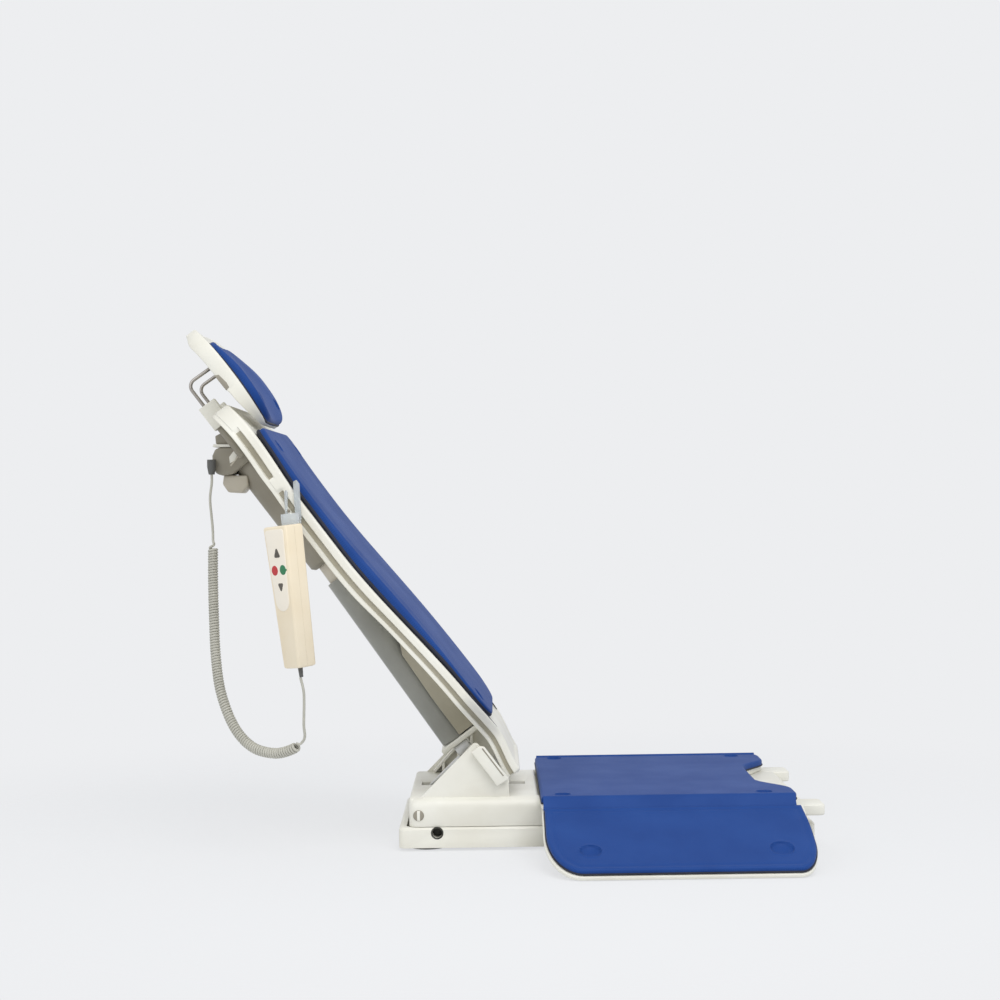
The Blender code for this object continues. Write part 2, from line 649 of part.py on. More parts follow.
def build_seat(body):
    """The seat carriage over the scissor, the seat plate with its front lugs, and the blue cover."""
    half = CARRIAGE_WIDTH / 2
    profile = [
        (CARRIAGE_REAR, CARRIAGE_BOTTOM), (CARRIAGE_FRONT, CARRIAGE_BOTTOM), (CARRIAGE_FRONT, FRONT_DECK),
        (CARRIAGE_STEP, FRONT_DECK), (CARRIAGE_STEP, REAR_DECK), (CARRIAGE_REAR, REAR_DECK),
    ]
    carriage = make("seat_carriage", prism(profile, -half, half, "Y"), "white_plastic", body)
    inside = half - CARRIAGE_WALL
    below = CARRIAGE_BOTTOM - CARRIAGE_GAP
    hollow = [
        (CARRIAGE_REAR + CARRIAGE_END_WALL, below),
        (CARRIAGE_FRONT - CARRIAGE_END_WALL, below),
        (CARRIAGE_FRONT - CARRIAGE_END_WALL, FRONT_CEILING),
        (CARRIAGE_STEP - CARRIAGE_WALL, FRONT_CEILING),
        (CARRIAGE_STEP - CARRIAGE_WALL, REAR_DECK - CARRIAGE_REAR_DECK),
        (CARRIAGE_REAR + CARRIAGE_END_WALL, REAR_DECK - CARRIAGE_REAR_DECK),
    ]
    carve(carriage, prism(hollow, -inside, inside, "Y"))
    slot = box_outline((SLOT_REAR, -SLOT_HALF_WIDTH), (SLOT_FRONT, SLOT_HALF_WIDTH))
    carve(carriage, prism(slot, FRONT_CEILING, REAR_DECK + CARRIAGE_REAR_DECK))
    bore(carriage, SEAT_PIVOT, SEAT_PIVOT_RADIUS + FIT, CARRIAGE_WIDTH)

    plate_half = FLAP_HINGE_Y - FIT
    plate = seat_outline(PLATE_INSET, plate_half)
    make("seat_plate", prism(plate, PLATE_BOTTOM, PLATE_TOP), "white_plastic", body)
    cover = seat_outline(0, SEAT_HALF_WIDTH)
    make("seat_cover", prism(cover, COVER_BOTTOM, COVER_BOTTOM + COVER_THICKNESS), "blue_cover", body)

    lug_front = SEAT_FRONT + LUG_REACH
    lug_top = PLATE_BOTTOM - FIT
    for side, sign in SIDES:
        near = sign * (half + RUN)
        far = sign * (half + RUN + LUG_WIDTH)
        low, high = sorted((near, far))
        lug = box_outline((lug_front - LUG_LENGTH, low), (lug_front, high), LUG_HEIGHT / 2)
        make(f"front_lug_{side}", prism(lug, lug_top - LUG_HEIGHT, lug_top), "white_plastic", body)


def build_bracket(body):
    """The two cheeks on the carriage that carry the backrest, and the hinge pin."""
    foot = BRACKET_FOOT
    cheek = fillet(
        [
            (BRACKET_FOOT_REAR, foot, 0),
            (BRACKET_FOOT_FRONT, foot, 0),
            (BRACKET_FOOT_FRONT, foot + BRACKET_NOSE_HEIGHT, BRACKET_NOSE_CORNER),
            (BRACKET_APEX_X, foot + BRACKET_APEX_HEIGHT, BRACKET_APEX_CORNER),
        ]
    )
    for side, sign in SIDES:
        low, high = sorted((sign * BRACKET_INNER, sign * BRACKET_OUTER))
        piece = make(f"bracket_{side}", prism(cheek, low, high, "Y"), "white_plastic", body)
        bore(piece, BACK_HINGE, HINGE_PIN_RADIUS + FIT, CARRIAGE_WIDTH)
    head_start = BRACKET_OUTER + FIT
    shaft(
        "back_hinge_pin",
        BACK_HINGE,
        [(HINGE_PIN_RADIUS, head_start), (HINGE_HEAD_RADIUS, head_start + HINGE_HEAD_LENGTH)],
        body,
    )


def flap_outline(inset, start):
    """A side flap laid flat, along X and outwards from its hinge, with round outer corners."""
    rear = SEAT_REAR + inset
    front = SEAT_FRONT + FLAP_FRONT_REACH - inset
    outer = FLAP_WIDTH - inset
    (rear_x, rear_v), (front_x, front_v) = FLAP_REAR_CORNER, FLAP_FRONT_CORNER
    outline = [(rear, start), (front, start)]
    outline.extend(arc((front - front_x, outer - front_v), FLAP_FRONT_CORNER, 0, 90, 6))
    outline.extend(arc((rear + rear_x, outer - rear_v), FLAP_REAR_CORNER, 90, 180, 7))
    return outline


def build_flap(side, sign, body):
    """One side flap: a white panel hinged at the seat's edge, with its blue cover."""
    out = Vector((0, sign * math.cos(FLAP_DROOP), -math.sin(FLAP_DROOP)))
    up = Vector((0, sign * math.sin(FLAP_DROOP), math.cos(FLAP_DROOP)))
    place = Matrix((
        (1, 0, 0, 0),
        (0, out.y, up.y, sign * FLAP_HINGE_Y),
        (0, out.z, up.z, FLAP_HINGE_Z),
        (0, 0, 0, 1),
    ))
    panel = flap_outline(0, FLAP_PANEL_START)
    make(f"flap_panel_{side}", prism(panel, -FLAP_UNDERSIDE, -FIT / 2), "white_plastic", body, place)
    cover = flap_outline(FLAP_RIM, FLAP_COVER_START)
    make(f"flap_cover_{side}", prism(cover, FIT / 2, FLAP_COVER_THICKNESS), "blue_cover", body, place)


# Backrest, whose pieces are given as (front, across, up the back)

def rounded_half_width(s, low, high, half, low_corner, high_corner):
    """Half the width of a panel at a height, with round corners at its lower and upper ends."""
    for corner, depth in ((low_corner, low + low_corner - s), (high_corner, s - high + high_corner)):
        if depth > 0:
            return half - corner + math.sqrt(max(corner * corner - depth * depth, 0))
    return half


def corner_marks(low, high, low_corner, high_corner):
    """Heights at which the round ends of a panel are taken."""
    turns = [math.sin(math.radians(angle)) for angle in (15, 35, 60, 90)]
    lower = [low + low_corner * (1 - turn) for turn in turns[::-1]]
    upper = [high - high_corner * (1 - turn) for turn in turns]
    return [low, *lower, low + low_corner, high - high_corner, *upper, high]


def between(marks, low, high):
    """The marks in order from low to high, without any that lie closer than a clearance."""
    kept = [low]
    for mark in sorted(marks):
        if kept[-1] + RUN < mark < high - RUN:
            kept.append(mark)
    return kept + [high]


def back_half_width(s):
    """Half the width of the backrest shell, which narrows to fit between the bracket's cheeks."""
    ramp = min(max((s - BACK_TAPER_START) / (BACK_TAPER_END - BACK_TAPER_START), 0), 1)
    ramp *= ramp * (3 - 2 * ramp)
    half = BACK_FOOT_HALF_WIDTH + (BACK_HALF_WIDTH - BACK_FOOT_HALF_WIDTH) * ramp
    return min(half, rounded_half_width(s, 0, BACK_LENGTH, BACK_HALF_WIDTH, 0, BACK_TOP_CORNER))


def back_front(s):
    """How far forward the shell's front face lies: a lumbar wave, rolled back at the top."""
    wave = LUMBAR_WAVE * math.cos(math.pi * (s - LUMBAR_PEAK) / LUMBAR_HALF_WAVE)
    roll = max(s - BACK_LENGTH + BACK_ROLL_START, 0) / BACK_ROLL_START
    return BACK_FRONT_MEAN + wave - BACK_ROLL * roll * roll


def panel_rear(low, high):
    """The rearmost place of the shell's panel between two heights, less a clearance."""
    return min(back_front(low), back_front(high), back_front((low + high) / 2)) - BACK_WALL - FIT


# Frame of the handset, which hangs by a bar on the shell's front face: its Z runs up the handset and
# its -Y is the keypad's side
HOOK_AXIS = BACK_PLACE @ Vector((back_front(HOOK_STATION) + FIT + HOOK_BAR_RADIUS, 0, HOOK_STATION))
HANDSET_DROP = Vector((HANDSET_BACKSET, BACK_HALF_WIDTH + HANDSET_STANDOFF, HANDSET_HANG))
HANDSET_GRIP = HOOK_AXIS - HANDSET_DROP
HANDSET_UPRIGHT = Matrix.Translation(HANDSET_GRIP) @ Matrix.Rotation(-HANDSET_TILT, 4, "Y")
HANDSET_PLACE = HANDSET_UPRIGHT @ Matrix.Rotation(-HANDSET_TURN, 4, "Z")


def back_marks():
    """Heights up the back at which its shape is taken."""
    steps = 12
    corner = BACK_LENGTH - BACK_TOP_CORNER
    taper = [BACK_TAPER_START + (BACK_TAPER_END - BACK_TAPER_START) * i / 5 for i in range(6)]
    wave = [BACK_TAPER_END + (corner - BACK_TAPER_END) * i / steps for i in range(1, steps)]
    return taper + wave + corner_marks(0, BACK_LENGTH, 0, BACK_TOP_CORNER)


def slab_loop(s, half, rear, front, edge):
    """A cross-section of a panel at a height, with its two front edges bevelled."""
    return [
        (rear, -half, s), (front - edge, -half, s), (front, edge - half, s),
        (front, half - edge, s), (front - edge, half, s), (rear, half, s),
    ]


def build_backrest(body):
    """The backrest shell with its hinge lugs, and the blue cover on it."""
    loops = []
    for s in between(back_marks(), 0, BACK_LENGTH):
        front = back_front(s)
        loops.append(slab_loop(s, back_half_width(s), front - BACK_DEPTH, front, BACK_WALL / 2))
    shell = make("backrest_shell", skin(loops), "white_plastic", body, BACK_PLACE)
    hollow = []
    for s in between(back_marks(), BACK_FOOT_BAR, BACK_LENGTH - BACK_WALL):
        front = back_front(s)
        half = back_half_width(s) - BACK_WALL
        hollow.append(slab_loop(s, half, front - 2 * BACK_DEPTH, front - BACK_WALL, BACK_WALL / 2))
    carve(shell, skin(hollow), BACK_PLACE)
    radius = BACK_LUG_RADIUS
    inside = back_front(0) - BACK_DEPTH + BACK_WALL
    lug = fillet(
        [
            (-radius, -radius, radius * 0.9),
            (inside, -radius, radius * 0.5),
            (inside, BACK_FOOT_BAR - radius, 0),
            (0, BACK_FOOT_BAR - radius, 0), (-radius, radius, radius / 2),
        ]
    )
    for _, sign in SIDES:
        far = sign * (BACK_FOOT_HALF_WIDTH - FIT)
        near = sign * (BACK_FOOT_HALF_WIDTH - BACK_LUG_THICKNESS)
        carve(shell, prism(lug, *sorted((near, far)), "Y"), BACK_PLACE, "UNION")
    bore(shell, BACK_HINGE, HINGE_PIN_RADIUS + FIT, CARRIAGE_WIDTH)

    pad = []
    corners = corner_marks(PAD_BOTTOM, PAD_TOP, PAD_BOTTOM_CORNER, PAD_TOP_CORNER)
    for s in between(back_marks() + corners, PAD_BOTTOM, PAD_TOP):
        half = rounded_half_width(s, PAD_BOTTOM, PAD_TOP, PAD_HALF_WIDTH, PAD_BOTTOM_CORNER, PAD_TOP_CORNER)
        seat = back_front(s) + FIT
        pad.append(slab_loop(s, half, seat, seat + PAD_THICKNESS, PAD_THICKNESS / 2))
    make("backrest_cover", skin(pad), "blue_cover", body, BACK_PLACE)


def build_drive(body):
    """The actuator behind the backrest, with its flange, clamp, gear head and cord gland."""
    bore_radius = ROD_RADIUS + FIT
    tube = [
        (0, TUBE_BORE_DEPTH), (bore_radius, TUBE_BORE_DEPTH), (bore_radius, 0), (TUBE_RADIUS, 0),
        (TUBE_RADIUS, TUBE_LENGTH), (0, TUBE_LENGTH),
    ]
    make("drive_tube", revolve(tube, 24), "grey_tube", body, DRIVE_PLACE)

    flange_top = TUBE_BOTTOM - TUBE_RADIUS * math.sin(TUBE_TILT) - FIT
    flange_bottom = flange_top - FLANGE_THICKNESS
    front = panel_rear(flange_bottom, flange_top)
    plate = box_outline((FLANGE_REAR, -FLANGE_HALF_WIDTH), (front, FLANGE_HALF_WIDTH))
    flange = make("tube_flange", prism(plate, flange_bottom, flange_top), "white_plastic", body, BACK_PLACE)
    carve(flange, cylinder(bore_radius, -TUBE_RADIUS, TUBE_RADIUS, 24), DRIVE_PLACE)

    clamp_top = CLAMP_BOTTOM + CLAMP_HEIGHT
    rear = TUBE_BOTTOM_FRONT - TUBE_RADIUS + FIT
    block = box_outline((rear, -CLAMP_HALF_WIDTH), (panel_rear(CLAMP_BOTTOM, clamp_top), CLAMP_HALF_WIDTH))
    clamp = make("tube_clamp", prism(block, CLAMP_BOTTOM, clamp_top), "white_plastic", body, BACK_PLACE)
    carve(clamp, cylinder(TUBE_RADIUS + FIT, 0, 2 * TUBE_LENGTH, 24), DRIVE_PLACE)

    motor_bottom = TUBE_TOP + TUBE_RADIUS * math.sin(TUBE_TILT) + FIT
    step = MOTOR_RADIUS - TUBE_RADIUS
    motor = [
        (0, motor_bottom), (TUBE_RADIUS, motor_bottom), (MOTOR_RADIUS, motor_bottom + step),
        (MOTOR_RADIUS, MOTOR_TOP), (0, MOTOR_TOP),
    ]
    axis = Matrix.Translation((MOTOR_FRONT, 0, 0))
    make("motor_housing", revolve(motor, 24), "motor_grey", body, BACK_PLACE @ axis)

    gear = box_outline((GEAR_REAR, -GEAR_HALF_WIDTH), (GEAR_FRONT, GEAR_HALF_WIDTH), GEAR_CORNER)
    make("gear_head", prism(gear, GEAR_BOTTOM, GEAR_TOP), "motor_grey", body, BACK_PLACE)
    wide = GEAR_HALF_WIDTH + CAP_OVERHANG
    cap = box_outline((GEAR_REAR - CAP_OVERHANG, -wide), (GEAR_FRONT, wide), GEAR_CORNER)
    cap_bottom = GEAR_TOP + FIT
    make("gear_cap", prism(cap, cap_bottom, cap_bottom + CAP_THICKNESS), "white_plastic", body, BACK_PLACE)
    connector_front = MOTOR_FRONT - MOTOR_RADIUS - FIT
    connector = box_outline(
        (connector_front - CONNECTOR_DEPTH, -CONNECTOR_HALF_WIDTH),
        (connector_front, CONNECTOR_HALF_WIDTH),
        GEAR_CORNER,
    )
    connector_top = GEAR_BOTTOM - FIT
    connector_solid = prism(connector, connector_top - CONNECTOR_HEIGHT, connector_top)
    make("connector_box", connector_solid, "nylon", body, BACK_PLACE)
    sleeve = [
        (0, -GLAND_LENGTH), (GLAND_TIP_RADIUS, -GLAND_LENGTH), (GLAND_RADIUS, -GLAND_LENGTH / 2),
        (GLAND_RADIUS, 0), (0, 0),
    ]
    make("cord_gland", revolve(sleeve, 16), "grey_rubber", body, Matrix.Translation(GLAND_TOP))


def build_push_rod(body):
    """The rod that slides out of the drive tube, and the fork on it that takes the lift crank."""
    flange_bottom = -TUBE_RADIUS * math.sin(TUBE_TILT) - FIT - FLANGE_THICKNESS
    rod_end = flange_bottom - RUN
    make("push_rod", cylinder(ROD_RADIUS, rod_end, ROD_INSERTED, 24), "steel", body, DRIVE_PLACE)
    inner = CRANK_THICKNESS / 2 + FORK_GAP
    outer = inner + FORK_TINE
    web_top = rod_end - FIT
    web = web_top - FORK_WEB
    tip = web - FORK_REACH
    fork = [
        (-outer, tip), (-inner, tip), (-inner, web), (inner, web), (inner, tip), (outer, tip),
        (outer, web_top), (-outer, web_top),
    ]
    solid = prism(fork, -FORK_HALF_WIDTH, FORK_HALF_WIDTH, "X")
    make("rod_fork", solid, "steel", body, DRIVE_PLACE)


# Headrest

def head_front(s):
    """How far forward the middle of the headrest shell's crowned front lies."""
    middle = (HEAD_BOTTOM + HEAD_TOP) / 2
    offset = (s - middle) / (HEAD_TOP - middle)
    return HEAD_FRONT + HEAD_CROWN * (1 - offset * offset)


def head_curve(y):
    """How much further forward the headrest lies at a distance from its middle."""
    return HEAD_CURVE * (y / HEAD_HALF_WIDTH) ** 2


def head_depth(s):
    """The depth of the headrest shell: down to the backrest in front of it, deeper above it."""
    ramp = min(max((s - HEAD_BOTTOM - HEAD_STEP) / HEAD_RAMP, 0), 1)
    over = max(head_front(s) - back_front(min(s, BACK_LENGTH)) - HEAD_REST, HEAD_WALL)
    return over + (HEAD_DEPTH - over) * ramp


def head_loop(s, half, rear, front, edge, wing=0):
    """A section of the headrest at a height, flat behind, with a curved front and bevelled edges.

    The wing is how much thicker a pad grows towards the sides, and it lies on the shell's curve.
    """
    inner = half - edge
    across = [inner * step / HEAD_STEPS for step in range(-HEAD_STEPS, HEAD_STEPS + 1)]
    across = [-half] + across + [half]
    back_row = [(rear + (head_curve(y) if wing else 0), y, s) for y in across]
    front_row = []
    for y in across:
        bevel = edge if abs(y) == half else 0
        front_row.append((front + head_curve(y) + wing * (y / HEAD_HALF_WIDTH) ** 2 - bevel, y, s))
    return back_row + front_row[::-1]


def build_headrest(body):
    """The sliding headrest: shell, pad and the two bent rods it is carried on."""
    step = HEAD_BOTTOM + HEAD_STEP
    marks = corner_marks(HEAD_BOTTOM, HEAD_TOP, HEAD_CORNER, HEAD_CORNER) + [step, step + HEAD_RAMP]
    loops = []
    for s in between(marks, HEAD_BOTTOM, HEAD_TOP):
        half = rounded_half_width(s, HEAD_BOTTOM, HEAD_TOP, HEAD_HALF_WIDTH, HEAD_CORNER, HEAD_CORNER)
        front = head_front(s)
        loops.append(head_loop(s, half, front - head_depth(s), front, HEAD_WALL / 2))
    shell = make("headrest_shell", skin(loops), "white_plastic", body, BACK_PLACE)
    hollow = []
    for s in between(marks, step + HEAD_RAMP, HEAD_TOP - HEAD_WALL):
        half = rounded_half_width(s, HEAD_BOTTOM, HEAD_TOP, HEAD_HALF_WIDTH, HEAD_CORNER, HEAD_CORNER)
        front = head_front(s)
        floor = front - HEAD_WALL
        hollow.append(head_loop(s, half - HEAD_WALL, front - 2 * HEAD_DEPTH, floor, HEAD_WALL / 2))
    carve(shell, skin(hollow), BACK_PLACE)

    pad_top = HEAD_BOTTOM + HEAD_PAD_LENGTH
    marks += corner_marks(HEAD_BOTTOM, pad_top, HEAD_PAD_CORNER, HEAD_PAD_CORNER)
    pad = []
    for s in between(marks, HEAD_BOTTOM, pad_top):
        corner = HEAD_PAD_CORNER
        half = rounded_half_width(s, HEAD_BOTTOM, pad_top, HEAD_PAD_HALF_WIDTH, corner, corner)
        seat = head_front(s) + FIT
        edge = HEAD_PAD_THICKNESS * 0.6
        pad.append(head_loop(s, half, seat, seat + HEAD_PAD_THICKNESS, edge, HEAD_PAD_WING))
    make("headrest_cover", skin(pad), "blue_cover", body, BACK_PLACE)

    start = HEAD_BOTTOM + ROD_WIRE_START
    wall = head_front(start) + head_curve(ROD_WIRE_SPREAD - ROD_WIRE_RADIUS) - HEAD_WALL - FIT
    slant = math.atan2(ROD_WIRE_TURN - ROD_WIRE_START, wall - ROD_WIRE_BACK)
    inside = wall - ROD_WIRE_RADIUS * math.sin(slant)
    wire = fillet(
        [
            (inside, start, 0),
            (ROD_WIRE_BACK, HEAD_BOTTOM + ROD_WIRE_TURN, ROD_WIRE_BEND),
            (ROD_WIRE_BACK, SOCKET_BOTTOM - ROD_WIRE_TAIL, 0),
        ],
        6,
    )
    for side, sign in SIDES:
        points = [BACK_PLACE @ Vector((t, sign * ROD_WIRE_SPREAD, s)) for t, s in wire]
        tube(f"headrest_rod_{side}", points, ROD_WIRE_RADIUS, "chrome", body)


def build_sockets(body):
    """The two sockets behind the backrest's top edge in which the headrest's rods slide."""
    bore_radius = ROD_WIRE_RADIUS + FIT
    rear = ROD_WIRE_BACK - bore_radius - SOCKET_REAR_WALL
    front = back_front(BACK_LENGTH) - BACK_DEPTH - FIT
    for side, sign in SIDES:
        middle = sign * ROD_WIRE_SPREAD
        block = box_outline((rear, middle - SOCKET_HALF_WIDTH), (front, middle + SOCKET_HALF_WIDTH), RUN)
        solid = prism(block, SOCKET_BOTTOM, SOCKET_TOP)
        socket = make(f"headrest_socket_{side}", solid, "white_plastic", body, BACK_PLACE)
        hole = cylinder(bore_radius, SOCKET_BOTTOM - RUN, SOCKET_TOP + RUN, 20)
        carve(socket, hole, BACK_PLACE @ Matrix.Translation((ROD_WIRE_BACK, middle, 0)))


# Handset

def handset_half(sign, depth):
    """One half of the handset, on one side of its split, with bevelled edges all round."""
    ends = HANDSET_LENGTH / 2
    flat = ends - HANDSET_EDGE
    levels = ((-ends, HANDSET_EDGE), (-flat, 0), (flat, 0), (ends, HANDSET_EDGE))
    loops = []
    for z, inset in levels:
        share = z / HANDSET_LENGTH + 0.5
        half = (HANDSET_FOOT_WIDTH + (HANDSET_TOP_WIDTH - HANDSET_FOOT_WIDTH) * share) / 2 - inset
        deep = HANDSET_FOOT_DEPTH + (depth - HANDSET_FOOT_DEPTH) * share - inset
        edge = HANDSET_EDGE - inset / 2
        outline = [
            (-half, FIT / 2), (half, FIT / 2), (half, deep - edge), (half - edge, deep),
            (edge - half, deep), (-half, deep - edge),
        ]
        loops.append([(x, sign * y, z) for x, y in outline])
    return skin(loops)


def keypad_depth(z):
    """How far the keypad's face stands from the handset's split at a height."""
    share = z / HANDSET_LENGTH + 0.5
    return HANDSET_FOOT_DEPTH + (HANDSET_FRONT_DEPTH - HANDSET_FOOT_DEPTH) * share


def build_handset(body):
    """The handset's two halves, the hook it hangs by and the cord's strain relief."""
    make("handset_rear_shell", handset_half(1, HANDSET_REAR_DEPTH), "cream_plastic", body, HANDSET_PLACE)
    keypad = handset_half(-1, HANDSET_FRONT_DEPTH)
    front = make("handset_front_shell", keypad, "cream_plastic", body, HANDSET_PLACE)
    for _, _, x, z, point in BUTTONS:
        face = keypad_depth(z)
        well = prism(button_outline(point, FIT), -face - BUTTON_WELL, BUTTON_WELL - face, "Y")
        carve(front, well, HANDSET_PLACE @ Matrix.Translation((x, 0, z)))

    top = HANDSET_LENGTH / 2 + FIT
    outside = -BACK_HALF_WIDTH - FIT - HOOK_THICKNESS
    strap_y = outside - HANDSET_GRIP.y
    low = HOOK_OFFSET - HOOK_WIDTH / 2
    high = HOOK_OFFSET + HOOK_WIDTH / 2
    face = strap_y + HOOK_THICKNESS / 2
    tab = box_outline((face - HOOK_TAB, top), (face, top + HOOK_TAB_HEIGHT))
    hook = make("handset_hook", prism(tab, low, high, "X"), "clear_plastic", body, HANDSET_UPRIGHT)
    rim = back_front(HOOK_STATION) + FIT + 2 * HOOK_BAR_RADIUS
    corners = [
        HANDSET_UPRIGHT @ Vector((low, 0, top)),
        HANDSET_UPRIGHT @ Vector((high, 0, top)),
        BACK_PLACE @ Vector((rim, 0, HOOK_STATION - HOOK_TOP_WIDTH / 2)),
        BACK_PLACE @ Vector((rim, 0, HOOK_STATION + HOOK_TOP_WIDTH / 2)),
    ]
    strap = prism([(p.x, p.z) for p in corners], outside, outside + HOOK_THICKNESS, "Y")
    carve(hook, strap, IDENTITY, "UNION")
    bar = cylinder(HOOK_BAR_RADIUS, outside + HOOK_THICKNESS / 2, HOOK_LIP - BACK_HALF_WIDTH, 16)
    carve(hook, bar, Matrix.Translation(HOOK_AXIS) @ ACROSS, "UNION")

    foot = -HANDSET_LENGTH / 2 - FIT
    relief = [
        (0, foot - RELIEF_LENGTH),
        (RELIEF_TIP_RADIUS, foot - RELIEF_LENGTH),
        (RELIEF_RADIUS, foot),
        (0, foot),
    ]
    make("handset_strain_relief", revolve(relief, 16), "grey_rubber", body, HANDSET_PLACE)


def button_outline(point, grow):
    """A button seen from the front: round, or an arrow that points up or down. Grown by a clearance."""
    if point == 0:
        radius = BUTTON_RADIUS + grow
        return arc((0, 0), (radius, radius), 0, 342, 19)
    half = ARROW_BASE / 2
    inner = half * ARROW_HEIGHT / (half + math.hypot(half, ARROW_HEIGHT))
    scale = (1 + grow / inner) * point
    corners = [(-half, -inner), (half, -inner), (0, ARROW_HEIGHT - inner)]
    return fillet([(x * scale, z * scale, ARROW_CORNER) for x, z in corners])


def build_button(name, finish, x, z, point, body):
    """One push button in its well, with a bevelled face."""
    depth = keypad_depth(z)
    face = depth + BUTTON_PROUD
    edge = BUTTON_PROUD / 2
    levels = ((depth - BUTTON_WELL + BUTTON_TRAVEL + FIT, 0), (face - edge, 0), (face, -edge))
    loops = []
    for level, grow in levels:
        loops.append([(px, -level, pz) for px, pz in button_outline(point, grow)])
    make(name, skin(loops), finish, body, HANDSET_PLACE @ Matrix.Translation((x, 0, z)))


# Curly cord

def smooth(points, samples=16):
    """Points of a smooth curve that passes through a row of points."""
    padded = [2 * points[0] - points[1], *points, 2 * points[-1] - points[-2]]
    curve = []
    for a, b, c, d in zip(padded, padded[1:], padded[2:], padded[3:]):
        for i in range(samples):
            t = i / samples
            bend = 2 * a - 5 * b + 4 * c - d
            twist = 3 * b - a - 3 * c + d
            curve.append((2 * b + (c - a) * t + bend * t ** 2 + twist * t ** 3) / 2)
    return curve + [points[-1]]


def run_length(curve):
    """The length of a curve given by its points."""
    return sum((b - a).length for a, b in zip(curve, curve[1:]))


def stretch(curve, start, stop, step):
    """Evenly spaced points of a curve, from one distance along it to another."""
    count = max(round((stop - start) / step), 1)
    wanted = [start + (stop - start) * i / count for i in range(count + 1)]
    found = []
    run = 0.0
    for a, b in zip(curve, curve[1:]):
        length = (b - a).length
        while wanted and wanted[0] <= run + length:
            found.append(a.lerp(b, (wanted.pop(0) - run) / length))
        run += length
    return found


def tube(name, points, radius, finish, body):
    """A round bar or cord along a row of points."""
    curve = bpy.data.curves.new(name, "CURVE")
    curve.dimensions = "3D"
    curve.bevel_depth = radius
    curve.bevel_resolution = 4
    curve.use_fill_caps = True
    spline = curve.splines.new("POLY")
    spline.points.add(len(points) - 1)
    to_body = body.matrix_basis.inverted()
    for target, point in zip(spline.points, points):
        target.co = (*(to_body @ point), 1)
    curve.materials.append(finish_material(finish))
    piece = bpy.data.objects.new(name, curve)
    bpy.context.collection.objects.link(piece)
    piece.parent = body


def build_cord(back, handset):
    """The handset's cord: a straight lead, the coil as one fat tube, and a second lead."""
    relief_tip = -HANDSET_LENGTH / 2 - FIT - RELIEF_LENGTH
    first = GLAND_TOP - Vector((0, 0, GLAND_LENGTH))
    last = HANDSET_PLACE @ Vector((0, 0, relief_tip))
    middle = [Vector(p) * MM for p in UPPER_LEAD_ROUTE + COIL_ROUTE + LOWER_LEAD_ROUTE]
    samples = 16
    curve = smooth([first, *middle, last], samples)
    coil_start = run_length(curve[: (1 + len(UPPER_LEAD_ROUTE)) * samples + 1])
    coil_end = run_length(curve[: (len(UPPER_LEAD_ROUTE) + len(COIL_ROUTE)) * samples + 1])
    whole = run_length(curve)
    gap = FIT / 2
    pieces = (
        ("cord_lead_upper", FIT, coil_start - gap, LEAD_POINT_STEP, LEAD_RADIUS, back),
        ("cord_coil", coil_start + gap, coil_end - gap, COIL_POINT_STEP, COIL_RADIUS, back),
        ("cord_lead_lower", coil_end + gap, whole - FIT, LEAD_POINT_STEP, LEAD_RADIUS, handset),
    )
    for name, start, stop, step, radius, body in pieces:
        tube(name, stretch(curve, start, stop, step), radius, "cord_grey", body)


# Assembly

def centre_on_footprint(root):
    """Moves the assembly so that the origin is the middle of its footprint. The cord isn't counted."""
    bpy.context.view_layer.update()
    graph = bpy.context.evaluated_depsgraph_get()
    corners = []
    for item in bpy.data.objects:
        if item.type == "MESH" and not item.hide_render:
            solid = item.evaluated_get(graph)
            corners.extend(solid.matrix_world @ Vector(corner) for corner in solid.bound_box)
    lows = [min(corner[i] for corner in corners) for i in range(3)]
    highs = [max(corner[i] for corner in corners) for i in range(3)]
    root.location = (-(lows[0] + highs[0]) / 2, -(lows[1] + highs[1]) / 2, -lows[2])


def assemble():
    """Builds the whole chair, each moving body on an empty at its joint."""
    for item in list(bpy.data.objects):
        bpy.data.objects.remove(item)
    root = frame("bath_lift", (0, 0, 0), None)
    build_base(frame("base", (0, 0, 0), root))
    build_outer_scissor(frame("scissor_outer", BASE_PIVOT, root))
    build_inner_scissor(frame("scissor_inner", CENTRE_PIVOT, root))
    seat = frame("seat", SEAT_PIVOT, root)
    build_seat(seat)
    build_bracket(seat)
    for side, sign in SIDES:
        build_flap(side, sign, frame(f"flap_{side}", (0, sign * FLAP_HINGE_Y, FLAP_HINGE_Z), root))
    back = frame("backrest", BACK_HINGE, root)
    build_backrest(back)
    build_drive(back)
    build_sockets(back)
    build_push_rod(frame("drive_rod", DRIVE_PLACE.to_translation(), root))
    build_headrest(frame("headrest", BACK_PLACE @ Vector((HEAD_FRONT, 0, HEAD_BOTTOM)), root))
    handset = frame("handset", HOOK_AXIS, root)
    build_handset(handset)
    for name, finish, x, z, point in BUTTONS:
        place = HANDSET_PLACE @ Vector((x, -keypad_depth(z), z))
        build_button(name, finish, x, z, point, frame(f"{name}_axis", place, root))
    build_cord(back, handset)
    centre_on_footprint(root)


assemble()
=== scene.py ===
"""Looks of a reclining bath lift chair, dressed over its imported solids.

X points the way the sitter faces, Y to the sitter's left and Z up, in metres. Lengths that repeat the
solids' own are written in millimetres and given their place from the solids' boxes.
"""
import json
import logging
import math
from dataclasses import dataclass
from enum import Enum
from typing import Callable, Sequence

import bmesh
import bpy
import numpy as np
from mathutils import Matrix, Vector


